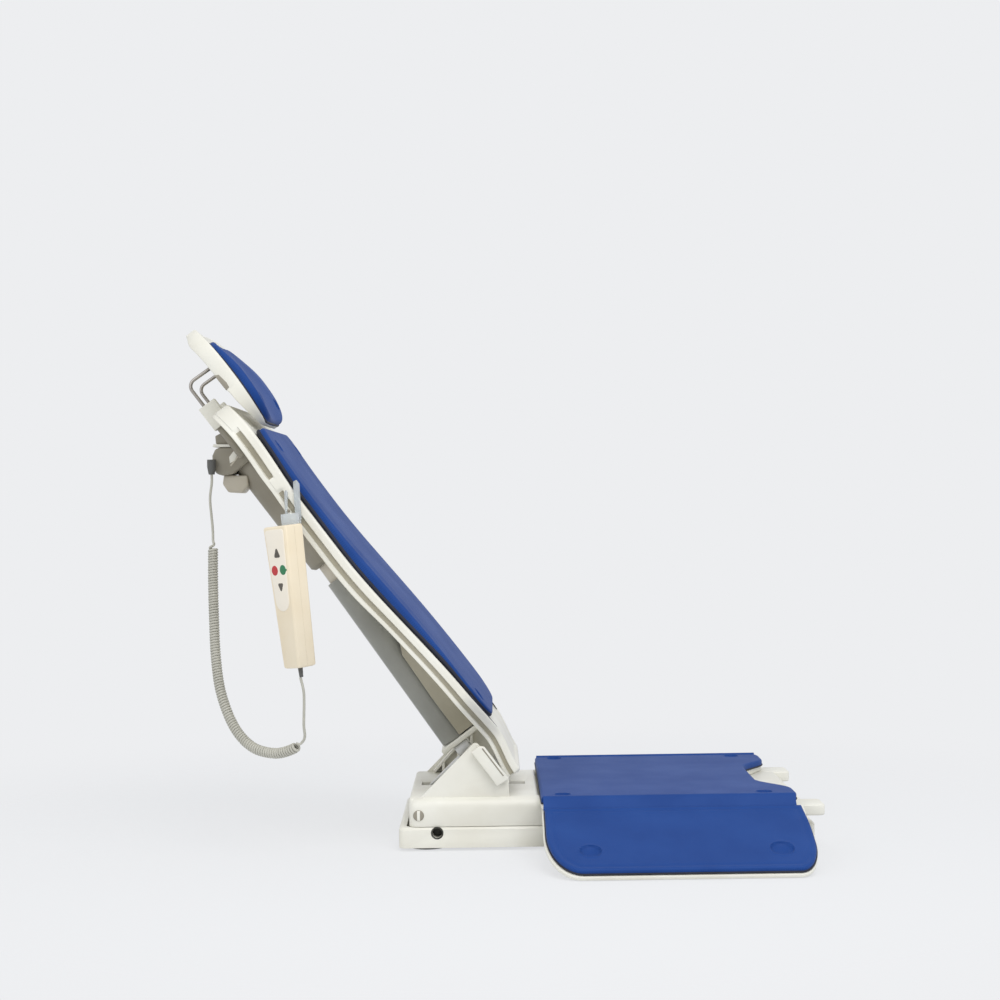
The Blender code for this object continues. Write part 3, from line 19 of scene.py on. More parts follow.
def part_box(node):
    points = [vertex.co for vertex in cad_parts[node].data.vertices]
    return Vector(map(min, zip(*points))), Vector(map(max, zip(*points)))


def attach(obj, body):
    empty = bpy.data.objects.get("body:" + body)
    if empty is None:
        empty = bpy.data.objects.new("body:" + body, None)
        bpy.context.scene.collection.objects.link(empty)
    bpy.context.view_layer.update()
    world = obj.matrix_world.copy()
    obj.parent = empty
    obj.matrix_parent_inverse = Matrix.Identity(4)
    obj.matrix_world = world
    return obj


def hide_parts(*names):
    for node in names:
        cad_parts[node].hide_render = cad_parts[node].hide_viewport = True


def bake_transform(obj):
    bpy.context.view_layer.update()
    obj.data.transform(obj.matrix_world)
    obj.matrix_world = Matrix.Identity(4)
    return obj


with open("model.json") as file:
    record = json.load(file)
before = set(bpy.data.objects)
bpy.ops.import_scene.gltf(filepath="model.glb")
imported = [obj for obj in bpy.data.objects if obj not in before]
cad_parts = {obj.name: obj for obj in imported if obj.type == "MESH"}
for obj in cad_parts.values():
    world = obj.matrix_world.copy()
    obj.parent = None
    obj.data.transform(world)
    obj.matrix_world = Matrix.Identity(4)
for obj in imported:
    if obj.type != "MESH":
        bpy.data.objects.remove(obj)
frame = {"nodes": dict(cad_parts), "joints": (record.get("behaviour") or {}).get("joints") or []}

LOG = logging.getLogger("bath_lift")
MM = 0.001
FIT = 0.3 * MM
MERGE = 1e-6
SHARP = math.radians(30)
SMOOTH = math.radians(38)
Mesh = bpy.types.Mesh
Shape = bmesh.types.BMesh
Socket = bpy.types.NodeSocket
Screen = tuple[int, int, int]
Colour = tuple[float, float, float, float]
Point = tuple[float, float, float]
Pair = tuple[float, float]
Outline = list[Pair]
Corners = tuple[Pair, ...]


class Side(Enum):
    """A side of the chair as its sitter names it, with its direction along Y."""

    LEFT = 1
    RIGHT = -1

    def __str__(self) -> str:
        """The side's word in the names of pieces."""
        return self.name.lower()

    def between(self, inner: float, outer: float) -> Pair:
        """Where a stretch between two distances from the middle starts and ends along Y."""
        low, high = sorted((self.value * inner, self.value * outer))
        return low, high


class CaseHalf(Enum):
    """A half of the handset's case, with its direction from the parting line."""

    FRONT = -1
    REAR = 1


# Frames, found from the solids

BASE_REAR = -133 * MM
RECLINE = math.radians(36.8)


def joint_place(child: str) -> Vector:
    """The place of the joint that carries a body."""
    return Vector(next(joint["pos_m"] for joint in frame["joints"] if joint["child"] == child))


ORIGIN = Matrix.Translation((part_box("base_tray")[0].x - BASE_REAR, 0, 0))
BACK = Matrix.Translation(joint_place("backrest")) @ Matrix.Rotation(-RECLINE, 4, "Y")


# Shape helpers

def arc(centre: Sequence[float], radii: Sequence[float], start: float, stop: float, steps: int) -> Outline:
    """Points of an elliptical arc.

    Args:
        centre: The arc's centre.
        radii: Its two radii.
        start: The first angle in degrees.
        stop: The last angle in degrees.
        steps: How many steps it is taken in.

    Returns:
        The points, both ends included.
    """
    points = []
    for i in range(steps + 1):
        angle = math.radians(start + (stop - start) * i / steps)
        points.append((centre[0] + radii[0] * math.cos(angle), centre[1] + radii[1] * math.sin(angle)))
    return points


def around(sides: int) -> list[float]:
    """The angles of points that lie evenly round a circle."""
    return [2 * math.pi * i / sides for i in range(sides)]


def oblong(left: float, right: float, low: float, high: float) -> Outline:
    """The corners of an upright oblong."""
    return [(left, low), (right, low), (right, high), (left, high)]


def metres(corners: Sequence[Pair]) -> Outline:
    """An outline that is written in millimetres, in metres."""
    return [(a * MM, b * MM) for a, b in corners]


def smoothstep(value: float) -> float:
    """A smooth ramp from 0 to 1 over that range."""
    share = min(max(value, 0.0), 1.0)
    return share * share * (3 - 2 * share)


def eased(count: int) -> list[float]:
    """Shares from 0 to 1 that lie closer together at both ends."""
    return [(1 - math.cos(math.pi * i / count)) / 2 for i in range(count + 1)]


def catmull(points: Sequence[Vector], samples: int) -> list[Vector]:
    """A smooth curve that passes through a row of points.

    Args:
        points: The points.
        samples: How many steps lie between one point and the next.

    Returns:
        The curve's points, both ends included.
    """
    padded = [2 * points[0] - points[1], *points, 2 * points[-1] - points[-2]]
    curve = []
    for a, b, c, d in zip(padded, padded[1:], padded[2:], padded[3:]):
        for i in range(samples):
            t = i / samples
            bend = 2 * a - 5 * b + 4 * c - d
            twist = 3 * b - a - 3 * c + d
            curve.append((2 * b + (c - a) * t + bend * t ** 2 + twist * t ** 3) / 2)
    return curve + [points[-1].copy()]


def evenly(curve: Sequence[Vector], step: float) -> list[Vector]:
    """A curve taken again at an even spacing.

    Args:
        curve: The curve's points.
        step: About how far apart the new points lie.

    Returns:
        The new points, both ends included.
    """
    marks = np.array([tuple(p) for p in curve])
    runs = np.concatenate(([0.0], np.cumsum(np.linalg.norm(np.diff(marks, axis=0), axis=1))))
    count = max(round(runs[-1] / step), 1)
    wanted = np.linspace(0, runs[-1], count + 1)
    columns = [np.interp(wanted, runs, marks[:, i]) for i in range(3)]
    return [Vector(p) for p in zip(*columns)]


def bridge(bm: Shape, rows: Sequence[Sequence[bmesh.types.BMVert]]) -> None:
    """Joins each ring of points to the next by faces.

    Args:
        bm: The shape that the points are in.
        rows: The rings.
    """
    for lower, upper in zip(rows, rows[1:]):
        for i in range(len(lower)):
            j = (i + 1) % len(lower)
            bm.faces.new((lower[i], lower[j], upper[j], upper[i]))


def loft(rings: Sequence[Sequence[Vector]], capped: bool = True) -> Shape:
    """A shape through a row of rings.

    Args:
        rings: The rings, with the same number of points in each.
        capped: Whether a face closes the first ring and the last.

    Returns:
        The shape.
    """
    bm = bmesh.new()
    rows = [[bm.verts.new(point) for point in ring] for ring in rings]
    bridge(bm, rows)
    if capped:
        bm.faces.new(rows[0][::-1])
        bm.faces.new(rows[-1])
    bmesh.ops.remove_doubles(bm, verts=bm.verts[:], dist=MERGE)
    bmesh.ops.recalc_face_normals(bm, faces=bm.faces[:])
    return bm


def sweep(points: Sequence[Vector], radii: Sequence[float], sides: int) -> Shape:
    """A round tube along a row of points, with closed ends.

    Args:
        points: The tube's middle line.
        radii: Its radius at each point.
        sides: How many faces go round it.

    Returns:
        The tube.
    """
    rings = []
    heading = (points[1] - points[0]).normalized()
    across = heading.orthogonal().normalized()
    for i, point in enumerate(points):
        ahead = points[min(i + 1, len(points) - 1)] - points[max(i - 1, 0)]
        across = (across - ahead.normalized() * across.dot(ahead.normalized())).normalized()
        up = ahead.normalized().cross(across)
        rings.append([point + radii[i] * (math.cos(a) * across + math.sin(a) * up) for a in around(sides)])
    return loft(rings)


def hoop(points: Sequence[Vector], wide: float, tall: float, sides: int) -> Shape:
    """A cord of an oval section, laid in a closed loop.

    Args:
        points: The loop's middle line, once round.
        wide: Half the cord's size along the loop's plane.
        tall: Half its size across that plane.
        sides: How many faces go round the cord.

    Returns:
        The loop.
    """
    centre = sum(points, Vector()) / len(points)
    facing = Vector()
    for a, b in zip(points, [*points[1:], points[0]]):
        facing += (a - centre).cross(b - centre)
    rings = []
    for i, point in enumerate(points):
        ahead = (points[(i + 1) % len(points)] - points[i - 1]).normalized()
        across = ahead.cross(facing).normalized()
        up = across.cross(ahead)
        rings.append([point + wide * math.cos(a) * across + tall * math.sin(a) * up for a in around(sides)])
    return loft([*rings, rings[0]], capped=False)


def block(outline: Outline, low: float, high: float, place: Matrix = Matrix.Identity(4)) -> Shape:
    """An outline in X and Z carried along Y from low to high, and put in its place."""
    rings = [[place @ Vector((x, y, z)) for x, z in outline] for y in (low, high)]
    return loft(rings)


def turned(profile: Outline, sides: int) -> Shape:
    """A solid turned about Z, with closed ends.

    Args:
        profile: Its (radius, height) points.
        sides: How many faces go round it.

    Returns:
        The solid.
    """
    rings = []
    for radius, height in profile:
        rings.append([Vector((radius * math.cos(a), radius * math.sin(a), height)) for a in around(sides)])
    return loft(rings)


def node_copy(node: str) -> Shape:
    """A merged copy of a solid's mesh, with its flat faces whole.

    Args:
        node: The solid's name.

    Returns:
        The copy.
    """
    bm = bmesh.new()
    bm.from_mesh(frame["nodes"][node].data)
    bmesh.ops.remove_doubles(bm, verts=bm.verts[:], dist=MERGE)
    bmesh.ops.dissolve_limit(bm, angle_limit=math.radians(1), verts=bm.verts[:], edges=bm.edges[:])
    return bm


def plain_mesh(bm: Shape, place: Matrix = Matrix.Identity(4)) -> Mesh:
    """A mesh of a shape, moved into its place.

    Args:
        bm: The shape, which is used up.
        place: The frame that it is put in.

    Returns:
        The mesh.
    """
    bm.transform(place)
    mesh = bpy.data.meshes.new("plain")
    bm.to_mesh(mesh)
    bm.free()
    return mesh


def joined(parts: Sequence[Shape]) -> Shape:
    """Several shapes as one.

    Args:
        parts: The shapes, which are used up.

    Returns:
        The one shape.
    """
    whole = bmesh.new()
    for part in parts:
        mesh = plain_mesh(part)
        whole.from_mesh(mesh)
        bpy.data.meshes.remove(mesh)
    return whole


def softened(bm: Shape, width: float, segments: int = 2, angle: float = SHARP) -> Mesh:
    """A mesh whose sharp edges are rounded over.

    Args:
        bm: The shape, which is used up.
        width: How wide the rounding is.
        segments: How many faces go round it.
        angle: The least angle at which an edge counts as sharp.

    Returns:
        The rounded mesh.
    """
    mesh = plain_mesh(bm)
    holder = bpy.data.objects.new("softened", mesh)
    bpy.context.scene.collection.objects.link(holder)
    bevel = holder.modifiers.new("round", "BEVEL")
    bevel.width = width
    bevel.segments = segments
    bevel.limit_method = "ANGLE"
    bevel.angle_limit = angle
    graph = bpy.context.evaluated_depsgraph_get()
    result = bpy.data.meshes.new_from_object(holder.evaluated_get(graph))
    bpy.data.objects.remove(holder)
    bpy.data.meshes.remove(mesh)
    return result


# Finishes

ROUGHER = 1.12
SMOOTHER = 0.92


def srgb(red: float, green: float, blue: float) -> Colour:
    """A shader colour from screen values of 0 to 255.

    Args:
        red: The red value.
        green: The green value.
        blue: The blue value.

    Returns:
        The opaque colour.
    """
    linear = []
    for value in (red, green, blue):
        share = value / 255
        linear.append(share / 12.92 if share <= 0.04045 else ((share + 0.055) / 1.055) ** 2.4)
    return (*linear, 1.0)


class Wiring:
    """Adds nodes to a tree and joins them."""

    def __init__(self, tree: bpy.types.NodeTree) -> None:
        """Starts on a tree with no nodes in it."""
        self.tree = tree
        tree.nodes.clear()

    def node(self, kind: str, inputs: dict | None = None, **settings: object) -> bpy.types.Node:
        """A node with its settings made and its inputs set or linked.

        Args:
            kind: The node's type.
            inputs: A value or an output socket for each named or numbered input.
            **settings: The node's own settings.

        Returns:
            The node.
        """
        node = self.tree.nodes.new(kind)
        for key, value in settings.items():
            setattr(node, key, value)
        for key, value in (inputs or {}).items():
            if isinstance(value, Socket):
                self.tree.links.new(value, node.inputs[key])
            else:
                node.inputs[key].default_value = value
        return node


def new_group(
    name: str, inputs: Sequence[tuple[str, str, object]], outputs: Sequence[tuple[str, str]]
) -> Wiring:
    """An empty shader node group with named sockets.

    Args:
        name: The group's name.
        inputs: Each input's label, socket type and value, or None where it has no value of its own.
        outputs: Each output's label and socket type.

    Returns:
        The group's wiring.
    """
    tree = bpy.data.node_groups.new(name, "ShaderNodeTree")
    wiring = Wiring(tree)
    for label, kind, value in inputs:
        socket = tree.interface.new_socket(label, in_out="INPUT", socket_type=kind)
        if value is not None:
            socket.default_value = value
    for label, kind in outputs:
        tree.interface.new_socket(label, in_out="OUTPUT", socket_type=kind)
    return wiring


def moulded_grain() -> bpy.types.NodeTree:
    """The fine spark-eroded grain and the slow blotches of a moulded surface.

    Returns:
        The shader node group.
    """
    wiring = new_group(
        "moulded_grain",
        [
            ("Vector", "NodeSocketVector", None),
            ("Grain Scale", "NodeSocketFloat", 900.0),
            ("Blotch Scale", "NodeSocketFloat", 14.0),
        ],
        [("Height", "NodeSocketFloat"), ("Blotch", "NodeSocketFloat")],
    )
    source = wiring.node("NodeGroupInput")
    noises = []
    for scale, detail in (("Grain Scale", 2.0), ("Blotch Scale", 5.0)):
        inputs = {"Vector": source.outputs["Vector"], "Scale": source.outputs[scale], "Detail": detail}
        noises.append(wiring.node("ShaderNodeTexNoise", inputs).outputs["Fac"])
    spread = wiring.node("ShaderNodeMapRange", {"Value": noises[1], "From Min": 0.35, "From Max": 0.65})
    wiring.node("NodeGroupOutput", {"Height": noises[0], "Blotch": spread.outputs["Result"]})
    return wiring.tree


def woven_threads() -> bpy.types.NodeTree:
    """A plain weave over a piece's own map, as a height and a thread mask.

    Returns:
        The shader node group.
    """
    wiring = new_group(
        "woven_threads",
        [("Vector", "NodeSocketVector", None), ("Threads", "NodeSocketFloat", 900.0)],
        [("Height", "NodeSocketFloat"), ("Thread", "NodeSocketFloat")],
    )
    source = wiring.node("NodeGroupInput")
    scaled = wiring.node(
        "ShaderNodeVectorMath",
        {0: source.outputs["Vector"], "Scale": source.outputs["Threads"]},
        operation="SCALE",
    )
    parts = wiring.node("ShaderNodeSeparateXYZ", {0: scaled.outputs["Vector"]})
    waves = []
    for axis in ("X", "Y"):
        angle = wiring.node("ShaderNodeMath", {0: parts.outputs[axis], 1: math.pi}, operation="MULTIPLY")
        wave = wiring.node("ShaderNodeMath", {0: angle.outputs[0]}, operation="SINE")
        waves.append(wave.outputs[0])
    cross = wiring.node("ShaderNodeMath", {0: waves[0], 1: waves[1]}, operation="MULTIPLY")
    inputs = {0: cross.outputs[0], 1: 0.5, 2: 0.5}
    height = wiring.node("ShaderNodeMath", inputs, operation="MULTIPLY_ADD")
    wiring.node("NodeGroupOutput", {"Height": height.outputs[0], "Thread": height.outputs[0]})
    return wiring.tree


GRAIN = moulded_grain()
WEAVE = woven_threads()


@dataclass(frozen=True)
class Finish:
    """A finish of the chair, with the record's material slot that it belongs to.

    The surface runs between its colour and its shade, which are screen values.
    """

    name: str
    slot: str
    colour: Screen
    shade: Screen
    roughness: float
    grain_scale: float = 900.0
    grain_depth: float = 0.05
    metallic: float = 0.0

    def surface(self, wiring: Wiring) -> tuple[Socket, Socket]:
        """Lays the moulded grain.

        Args:
            wiring: The material's wiring.

        Returns:
            The height and the colour mask of the surface.
        """
        place = wiring.node("ShaderNodeTexCoord").outputs["Object"]
        inputs = {"Vector": place, "Grain Scale": self.grain_scale}
        grain = wiring.node("ShaderNodeGroup", inputs, node_tree=GRAIN)
        return grain.outputs["Height"], grain.outputs["Blotch"]

    def dress(self, shader: bpy.types.Node) -> None:
        """Sets what only some finishes have on the shader's own sockets."""

    def material(self) -> bpy.types.Material:
        """Makes the finish's material, or finds it where it is made already.

        Returns:
            The material.
        """
        if self.name in bpy.data.materials:
            return bpy.data.materials[self.name]
        material = bpy.data.materials.new(self.name)
        material.use_nodes = True
        wiring = Wiring(material.node_tree)
        height, mask = self.surface(wiring)
        inputs = {"Factor": mask, 6: srgb(*self.shade), 7: srgb(*self.colour)}
        tint = wiring.node("ShaderNodeMix", inputs, data_type="RGBA")
        rough = wiring.node(
            "ShaderNodeMapRange",
            {"Value": mask, "To Min": min(self.roughness * ROUGHER, 1), "To Max": self.roughness * SMOOTHER},
        )
        bump = wiring.node(
            "ShaderNodeBump", {"Height": height, "Strength": self.grain_depth, "Distance": MM}
        )
        shader = wiring.node(
            "ShaderNodeBsdfPrincipled",
            {
                "Base Color": tint.outputs[2],
                "Roughness": rough.outputs["Result"],
                "Normal": bump.outputs["Normal"],
                "Metallic": self.metallic,
            },
        )
        self.dress(shader)
        wiring.node("ShaderNodeOutputMaterial", {"Surface": shader.outputs["BSDF"]})
        return material


@dataclass(frozen=True)
class ClothFinish(Finish):
    """A woven cover, mapped on its own rows."""

    threads: float = 700.0
    gloss: float = 0.35
    sheen: float = 0.03
    sheen_roughness: float = 0.4

    def surface(self, wiring: Wiring) -> tuple[Socket, Socket]:
        """Lays the weave over slow blotches.

        Args:
            wiring: The material's wiring.

        Returns:
            The height of the weave, and a mask of its threads and blotches.
        """
        place = wiring.node("ShaderNodeTexCoord")
        inputs = {"Vector": place.outputs["UV"], "Threads": self.threads}
        weave = wiring.node("ShaderNodeGroup", inputs, node_tree=WEAVE)
        grain = wiring.node("ShaderNodeGroup", {"Vector": place.outputs["Object"]}, node_tree=GRAIN)
        inputs = {0: weave.outputs["Thread"], 1: grain.outputs["Blotch"]}
        mask = wiring.node("ShaderNodeMath", inputs, operation="MULTIPLY")
        return weave.outputs["Height"], mask.outputs[0]

    def dress(self, shader: bpy.types.Node) -> None:
        """Gives the cloth its faint sheen.

        Args:
            shader: The material's shader.
        """
        shader.inputs["Specular IOR Level"].default_value = self.gloss
        shader.inputs["Sheen Weight"].default_value = self.sheen
        shader.inputs["Sheen Roughness"].default_value = self.sheen_roughness


@dataclass(frozen=True)
class ClearFinish(Finish):
    """A clear moulding."""

    transmission: float = 0.55
    ior: float = 1.22

    def dress(self, shader: bpy.types.Node) -> None:
        """Lets light through."""
        shader.inputs["Transmission Weight"].default_value = self.transmission
        shader.inputs["IOR"].default_value = self.ior


WHITE = Finish("white_moulding", "white_plastic", (236, 234, 224), (228, 225, 213), 0.38)
BLUE = ClothFinish("blue_cloth", "blue_cover", (8, 68, 144), (3, 58, 130), 0.6, grain_depth=0.12)
# Painted shade: a dark navy for the cords round the covers' feet, standing for the shadow under their edges.
PAINTED_EDGE_SHADE = Finish("dark_binding", "blue_cover", (18, 24, 44), (14, 19, 36), 0.6)
# Painted shade: a darker beige standing for the white moulding in shade, on the rim's recess lining and the
# webs by the tube.
PAINTED_SHADE = Finish("shaded_moulding", "white_plastic", (170, 164, 145), (157, 151, 132), 0.5)
TUBE_GREY = Finish("tube_enamel", "grey_tube", (150, 150, 143), (140, 140, 133), 0.34)
MOTOR_GREY = Finish("motor_moulding", "motor_grey", (150, 144, 130), (138, 132, 118), 0.5)
STEEL = Finish("turned_steel", "steel", (200, 200, 197), (180, 180, 176), 0.3, metallic=1.0)
ROD_STEEL = Finish("rod_steel", "chrome", (168, 163, 157), (154, 149, 143), 0.22, 300, 0.01, 1.0)
RUBBER = Finish("grey_rubber_skin", "grey_rubber", (98, 98, 96), (84, 84, 82), 0.7)
# Painted shade: a near-black standing for the shade inside the bores.
PAINTED_BORE_SHADE = Finish("dark_bore", "grey_rubber", (54, 53, 46), (46, 45, 39), 0.6)
NYLON = Finish("nylon_moulding", "nylon", (200, 193, 178), (188, 180, 164), 0.5)
CREAM = Finish("cream_moulding", "cream_plastic", (242, 229, 204), (236, 221, 193), 0.38)
KEYPAD = Finish("keypad_moulding", "cream_plastic", (248, 240, 226), (244, 235, 219), 0.34)
CLEAR = ClearFinish("clear_moulding", "clear_plastic", (232, 236, 238), (226, 231, 233), 0.1)
CORD_GREY = Finish("cord_jacket", "cord_grey", (193, 191, 180), (180, 178, 167), 0.5)
BUTTON_DARK = Finish("dark_button", "black_button", (92, 86, 78), (80, 75, 68), 0.5)
BUTTON_RED = Finish("red_keypad", "red_button", (196, 52, 56), (178, 44, 48), 0.45)
BUTTON_GREEN = Finish("green_keypad", "green_button", (40, 128, 84), (34, 112, 72), 0.45)


# Placing finished pieces

def publish(
    name: str, mesh: Mesh, finish: Finish, body: str | None, stands_for: Sequence[str] = ()
) -> bpy.types.Object:
    """Makes a piece of a finished mesh and sets it on its body.

    Args:
        name: The piece's name.
        mesh: Its mesh, already in place.
        finish: Its finish.
        body: The body that it rides on, or None where it rides on none.
        stands_for: The solids that it is shown in place of.

    Returns:
        The piece.
    """
    mesh.name = name
    mesh.materials.clear()
    mesh.materials.append(finish.material())
    mesh.shade_smooth()
    mesh.set_sharp_from_angle(angle=SMOOTH)
    piece = bpy.data.objects.new(name, mesh)
    bpy.context.scene.collection.objects.link(piece)
    if body:
        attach(piece, body)
    if stands_for:
        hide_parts(*stands_for)
    LOG.info("%s: %d faces", name, len(mesh.polygons))
    return piece


def refine(node: str, finish: Finish, body: str, width: float, segments: int = 2) -> bpy.types.Object:
    """A solid shown with rounded edges and its finish."""
    return publish(f"{node}_skin", softened(node_copy(node), width, segments), finish, body, [node])


# Geometry nodes that repeat a shape

def scatter_tree() -> bpy.types.NodeTree:
    """Geometry nodes that set one shape on each point of a guide.

    Returns:
        The node tree.
    """
    tree = bpy.data.node_groups.new("shape_on_points", "GeometryNodeTree")
    for label, kind in (
        ("Guide", "NodeSocketGeometry"),
        ("Shape", "NodeSocketObject"),
        ("Size", "NodeSocketVector"),
        ("Finish", "NodeSocketMaterial"),
    ):
        tree.interface.new_socket(label, in_out="INPUT", socket_type=kind)
    tree.interface.new_socket("Result", in_out="OUTPUT", socket_type="NodeSocketGeometry")
    wiring = Wiring(tree)
    source = wiring.node("NodeGroupInput")
    shape = wiring.node("GeometryNodeObjectInfo", {"Object": source.outputs["Shape"], "As Instance": True})
    placed = wiring.node(
        "GeometryNodeInstanceOnPoints",
        {
            "Points": source.outputs["Guide"],
            "Instance": shape.outputs["Geometry"],
            "Scale": source.outputs["Size"],
        },
    )
    real = wiring.node("GeometryNodeRealizeInstances", {"Geometry": placed.outputs["Instances"]})
    inputs = {"Geometry": real.outputs["Geometry"], "Material": source.outputs["Finish"]}
    dressed = wiring.node("GeometryNodeSetMaterial", inputs)
    wiring.node("NodeGroupOutput", {"Result": dressed.outputs["Geometry"]})
    return tree


SCATTER = scatter_tree()


def scattered(shape: Mesh, size: Sequence[float], points: Sequence[Vector], finish: Finish) -> Mesh:
    """One mesh of a shape that stands on every point.

    Args:
        shape: The shape, about its own origin.
        size: Its scale along each axis.
        points: Where it stands.
        finish: Its finish.

    Returns:
        The plain mesh of all of them.
    """
    guide = bpy.data.meshes.new("guide")
    guide.from_pydata([tuple(p) for p in points], [], [])
    pattern = bpy.data.objects.new("pattern", shape)
    holder = bpy.data.objects.new("guide", guide)
    for made in (pattern, holder):
        bpy.context.scene.collection.objects.link(made)
    modifier = holder.modifiers.new("scatter", "NODES")
    modifier.node_group = SCATTER
    values = {"Shape": pattern, "Size": tuple(size), "Finish": finish.material()}
    for socket in SCATTER.interface.items_tree:
        if socket.name in values:
            modifier[socket.identifier] = values[socket.name]
    graph = bpy.context.evaluated_depsgraph_get()
    result = bpy.data.meshes.new_from_object(holder.evaluated_get(graph))
    holder.modifiers.remove(modifier)
    for made in (pattern, holder):
        bpy.data.objects.remove(made)
    return result


# Padded covers

@dataclass(frozen=True)
class Dimple:
    """A round hollow in a cover, where a fastener holds it down."""

    row: float
    column: float
    radius: float
    depth: float


@dataclass(frozen=True)
class Binding:
    """A dark cord of painted shade round a cover's foot, for the shadow under its edge: its half sizes and
    its height.
    """

    wide: float
    tall: float
    level: float


@dataclass
class Cover:
    """A padded cover, ruled row by row over the panel that it lies on.

    The rows run from first to last. For each one, span gives where it starts and ends, and place turns a
    row, a column and a height above the panel into a point. The ticks are shares of a dimple's radius at
    which its rows and columns lie.
    """

    first: float
    last: float
    span: Callable[[float], Pair]
    place: Callable[[float, float, float], Vector]
    thickness: float
    edge: float
    dimples: Sequence[Dimple]
    rows: int = 56
    columns: int = 64
    crown: float = 0.0
    groove: float = 0.0
    groove_inset: float = 8.5 * MM
    groove_width: float = 2.2 * MM
    crown_run: float = 8
    lip: float = 0.5 * MM
    lip_place: float = 1.07
    lip_width: float = 0.08
    outline_steps: int = 160
    binding_step: float = 3 * MM
    binding_sides: int = 10
    ticks: tuple[float, ...] = (0, 0.25, 0.5, 0.7, 0.85, 0.94, 1.0, 1.06, 1.15)

    def outline(self) -> Outline:
        """The cover's outline as (row, column), once round."""
        steps = [self.first + (self.last - self.first) * share for share in eased(self.outline_steps)]
        return [(a, self.span(a)[0]) for a in steps] + [(a, self.span(a)[1]) for a in reversed(steps)]

    def edge_distances(self, marks: np.ndarray) -> np.ndarray:
        """How far points of the cover lie from its outline.

        Args:
            marks: The (row, column) of each point.

        Returns:
            Each point's distance.
        """
        starts = np.array(self.outline())
        runs = np.roll(starts, -1, axis=0) - starts
        squares = np.maximum((runs ** 2).sum(1), 1e-18)
        nearest = np.full(len(marks), 1e9)
        for start, run, square in zip(starts, runs, squares):
            share = np.clip(((marks - start) @ run) / square, 0, 1)
            gap = marks - start - share[:, None] * run
            nearest = np.minimum(nearest, np.sqrt((gap ** 2).sum(1)))
        return nearest

    def heights(self, marks: np.ndarray) -> np.ndarray:
        """How high the cover's top lies above its panel.

        Args:
            marks: The (row, column) of each point.

        Returns:
            Each point's height.
        """
        distance = self.edge_distances(marks)
        inward = np.clip(distance / self.edge, 0, 1)
        height = self.thickness - self.edge + self.edge * np.sqrt(1 - (1 - inward) ** 2)
        swell = np.clip(distance / (self.crown_run * self.edge), 0, 1)
        height += self.crown * swell * swell * (3 - 2 * swell)
        height -= self.groove * np.exp(-(((distance - self.groove_inset) / self.groove_width) ** 2))
        for dimple in self.dimples:
            away = np.hypot(marks[:, 0] - dimple.row, marks[:, 1] - dimple.column) / dimple.radius
            height -= dimple.depth * np.sqrt(np.clip(1 - away ** 2, 0, 1))
            height += self.lip * np.exp(-(((away - self.lip_place) / self.lip_width) ** 2))
        return height

    def stations(self) -> tuple[list[float], list[float]]:
        """The grid of the cover's mesh, which is closer at the edges and the dimples.

        Returns:
            The rows, and the shares across each one.
        """
        rows = [self.first + (self.last - self.first) * share for share in eased(self.rows)]
        shares = eased(self.columns)
        for dimple in self.dimples:
            start, stop = self.span(dimple.row)
            for tick in self.ticks:
                for reach in (-tick * dimple.radius, tick * dimple.radius):
                    rows.append(dimple.row + reach)
                    shares.append((dimple.column + reach - start) / (stop - start))
        kept = [a for a in sorted({round(a, 5) for a in rows}) if self.first <= a <= self.last]
        return kept, [b for b in sorted({round(b, 4) for b in shares}) if 0 <= b <= 1]

    def mesh(self) -> Mesh:
        """The closed cover, with a map in metres along its rows and columns.

        Returns:
            The mesh.
        """
        rows, shares = self.stations()
        marks = []
        for a in rows:
            start, stop = self.span(a)
            marks.extend((a, start + (stop - start) * share) for share in shares)
        tops = self.heights(np.array(marks))
        bm = bmesh.new()
        chart = bm.loops.layers.uv.new("weave")
        wide = len(shares)
        upper = [bm.verts.new(self.place(a, b, float(h))) for (a, b), h in zip(marks, tops)]
        lower = [bm.verts.new(self.place(a, b, 0.0)) for a, b in marks]
        quads = []
        for i in range(len(rows) - 1):
            for j in range(wide - 1):
                k = i * wide + j
                quads.append([(upper, k), (upper, k + 1), (upper, k + wide + 1), (upper, k + wide)])
                quads.append([(lower, k), (lower, k + wide), (lower, k + wide + 1), (lower, k + 1)])
        rim = list(range(wide)) + [i * wide + wide - 1 for i in range(1, len(rows))]
        rim += [(len(rows) - 1) * wide + j for j in range(wide - 2, -1, -1)]
        rim += [i * wide for i in range(len(rows) - 2, 0, -1)]
        for a, b in zip(rim, rim[1:] + rim[:1]):
            quads.append([(lower, a), (lower, b), (upper, b), (upper, a)])
        for quad in quads:
            face = bm.faces.new([layer[k] for layer, k in quad])
            for loop, (_, k) in zip(face.loops, quad):
                loop[chart].uv = marks[k]
        bmesh.ops.recalc_face_normals(bm, faces=bm.faces[:])
        return plain_mesh(bm)

    def bound(self, edge_shade: Binding) -> Mesh:
        """The dark cord of painted shade round the foot of the cover, for the shadow under its edge.

        Args:
            edge_shade: The edge's sizes.

        Returns:
            The mesh.
        """
        ring = [self.place(a, b, edge_shade.level) for a, b in self.outline()]
        path = evenly([*ring, ring[0]], self.binding_step)[:-1]
        return plain_mesh(hoop(path, edge_shade.wide, edge_shade.tall, self.binding_sides))

    def lay(self, node: str, body: str, edge_shade: Binding, fill: float) -> None:
        """Lays the cover and its dark cord of painted shade on a body, in place of the cover's solid.

        Args:
            node: The solid's name.
            body: The body that they ride on.
            edge_shade: The sizes of the cord of painted shade.
            fill: How full of padding the cover is; not used.
        """
        pad = publish(f"{node}_pad", self.mesh(), BLUE, body, [node])
        # The cord round the cover's foot is painted shade: a dark navy for the shadow under the cover's
        # edge.
        publish(f"{node}_binding", self.bound(edge_shade), PAINTED_EDGE_SHADE, body)


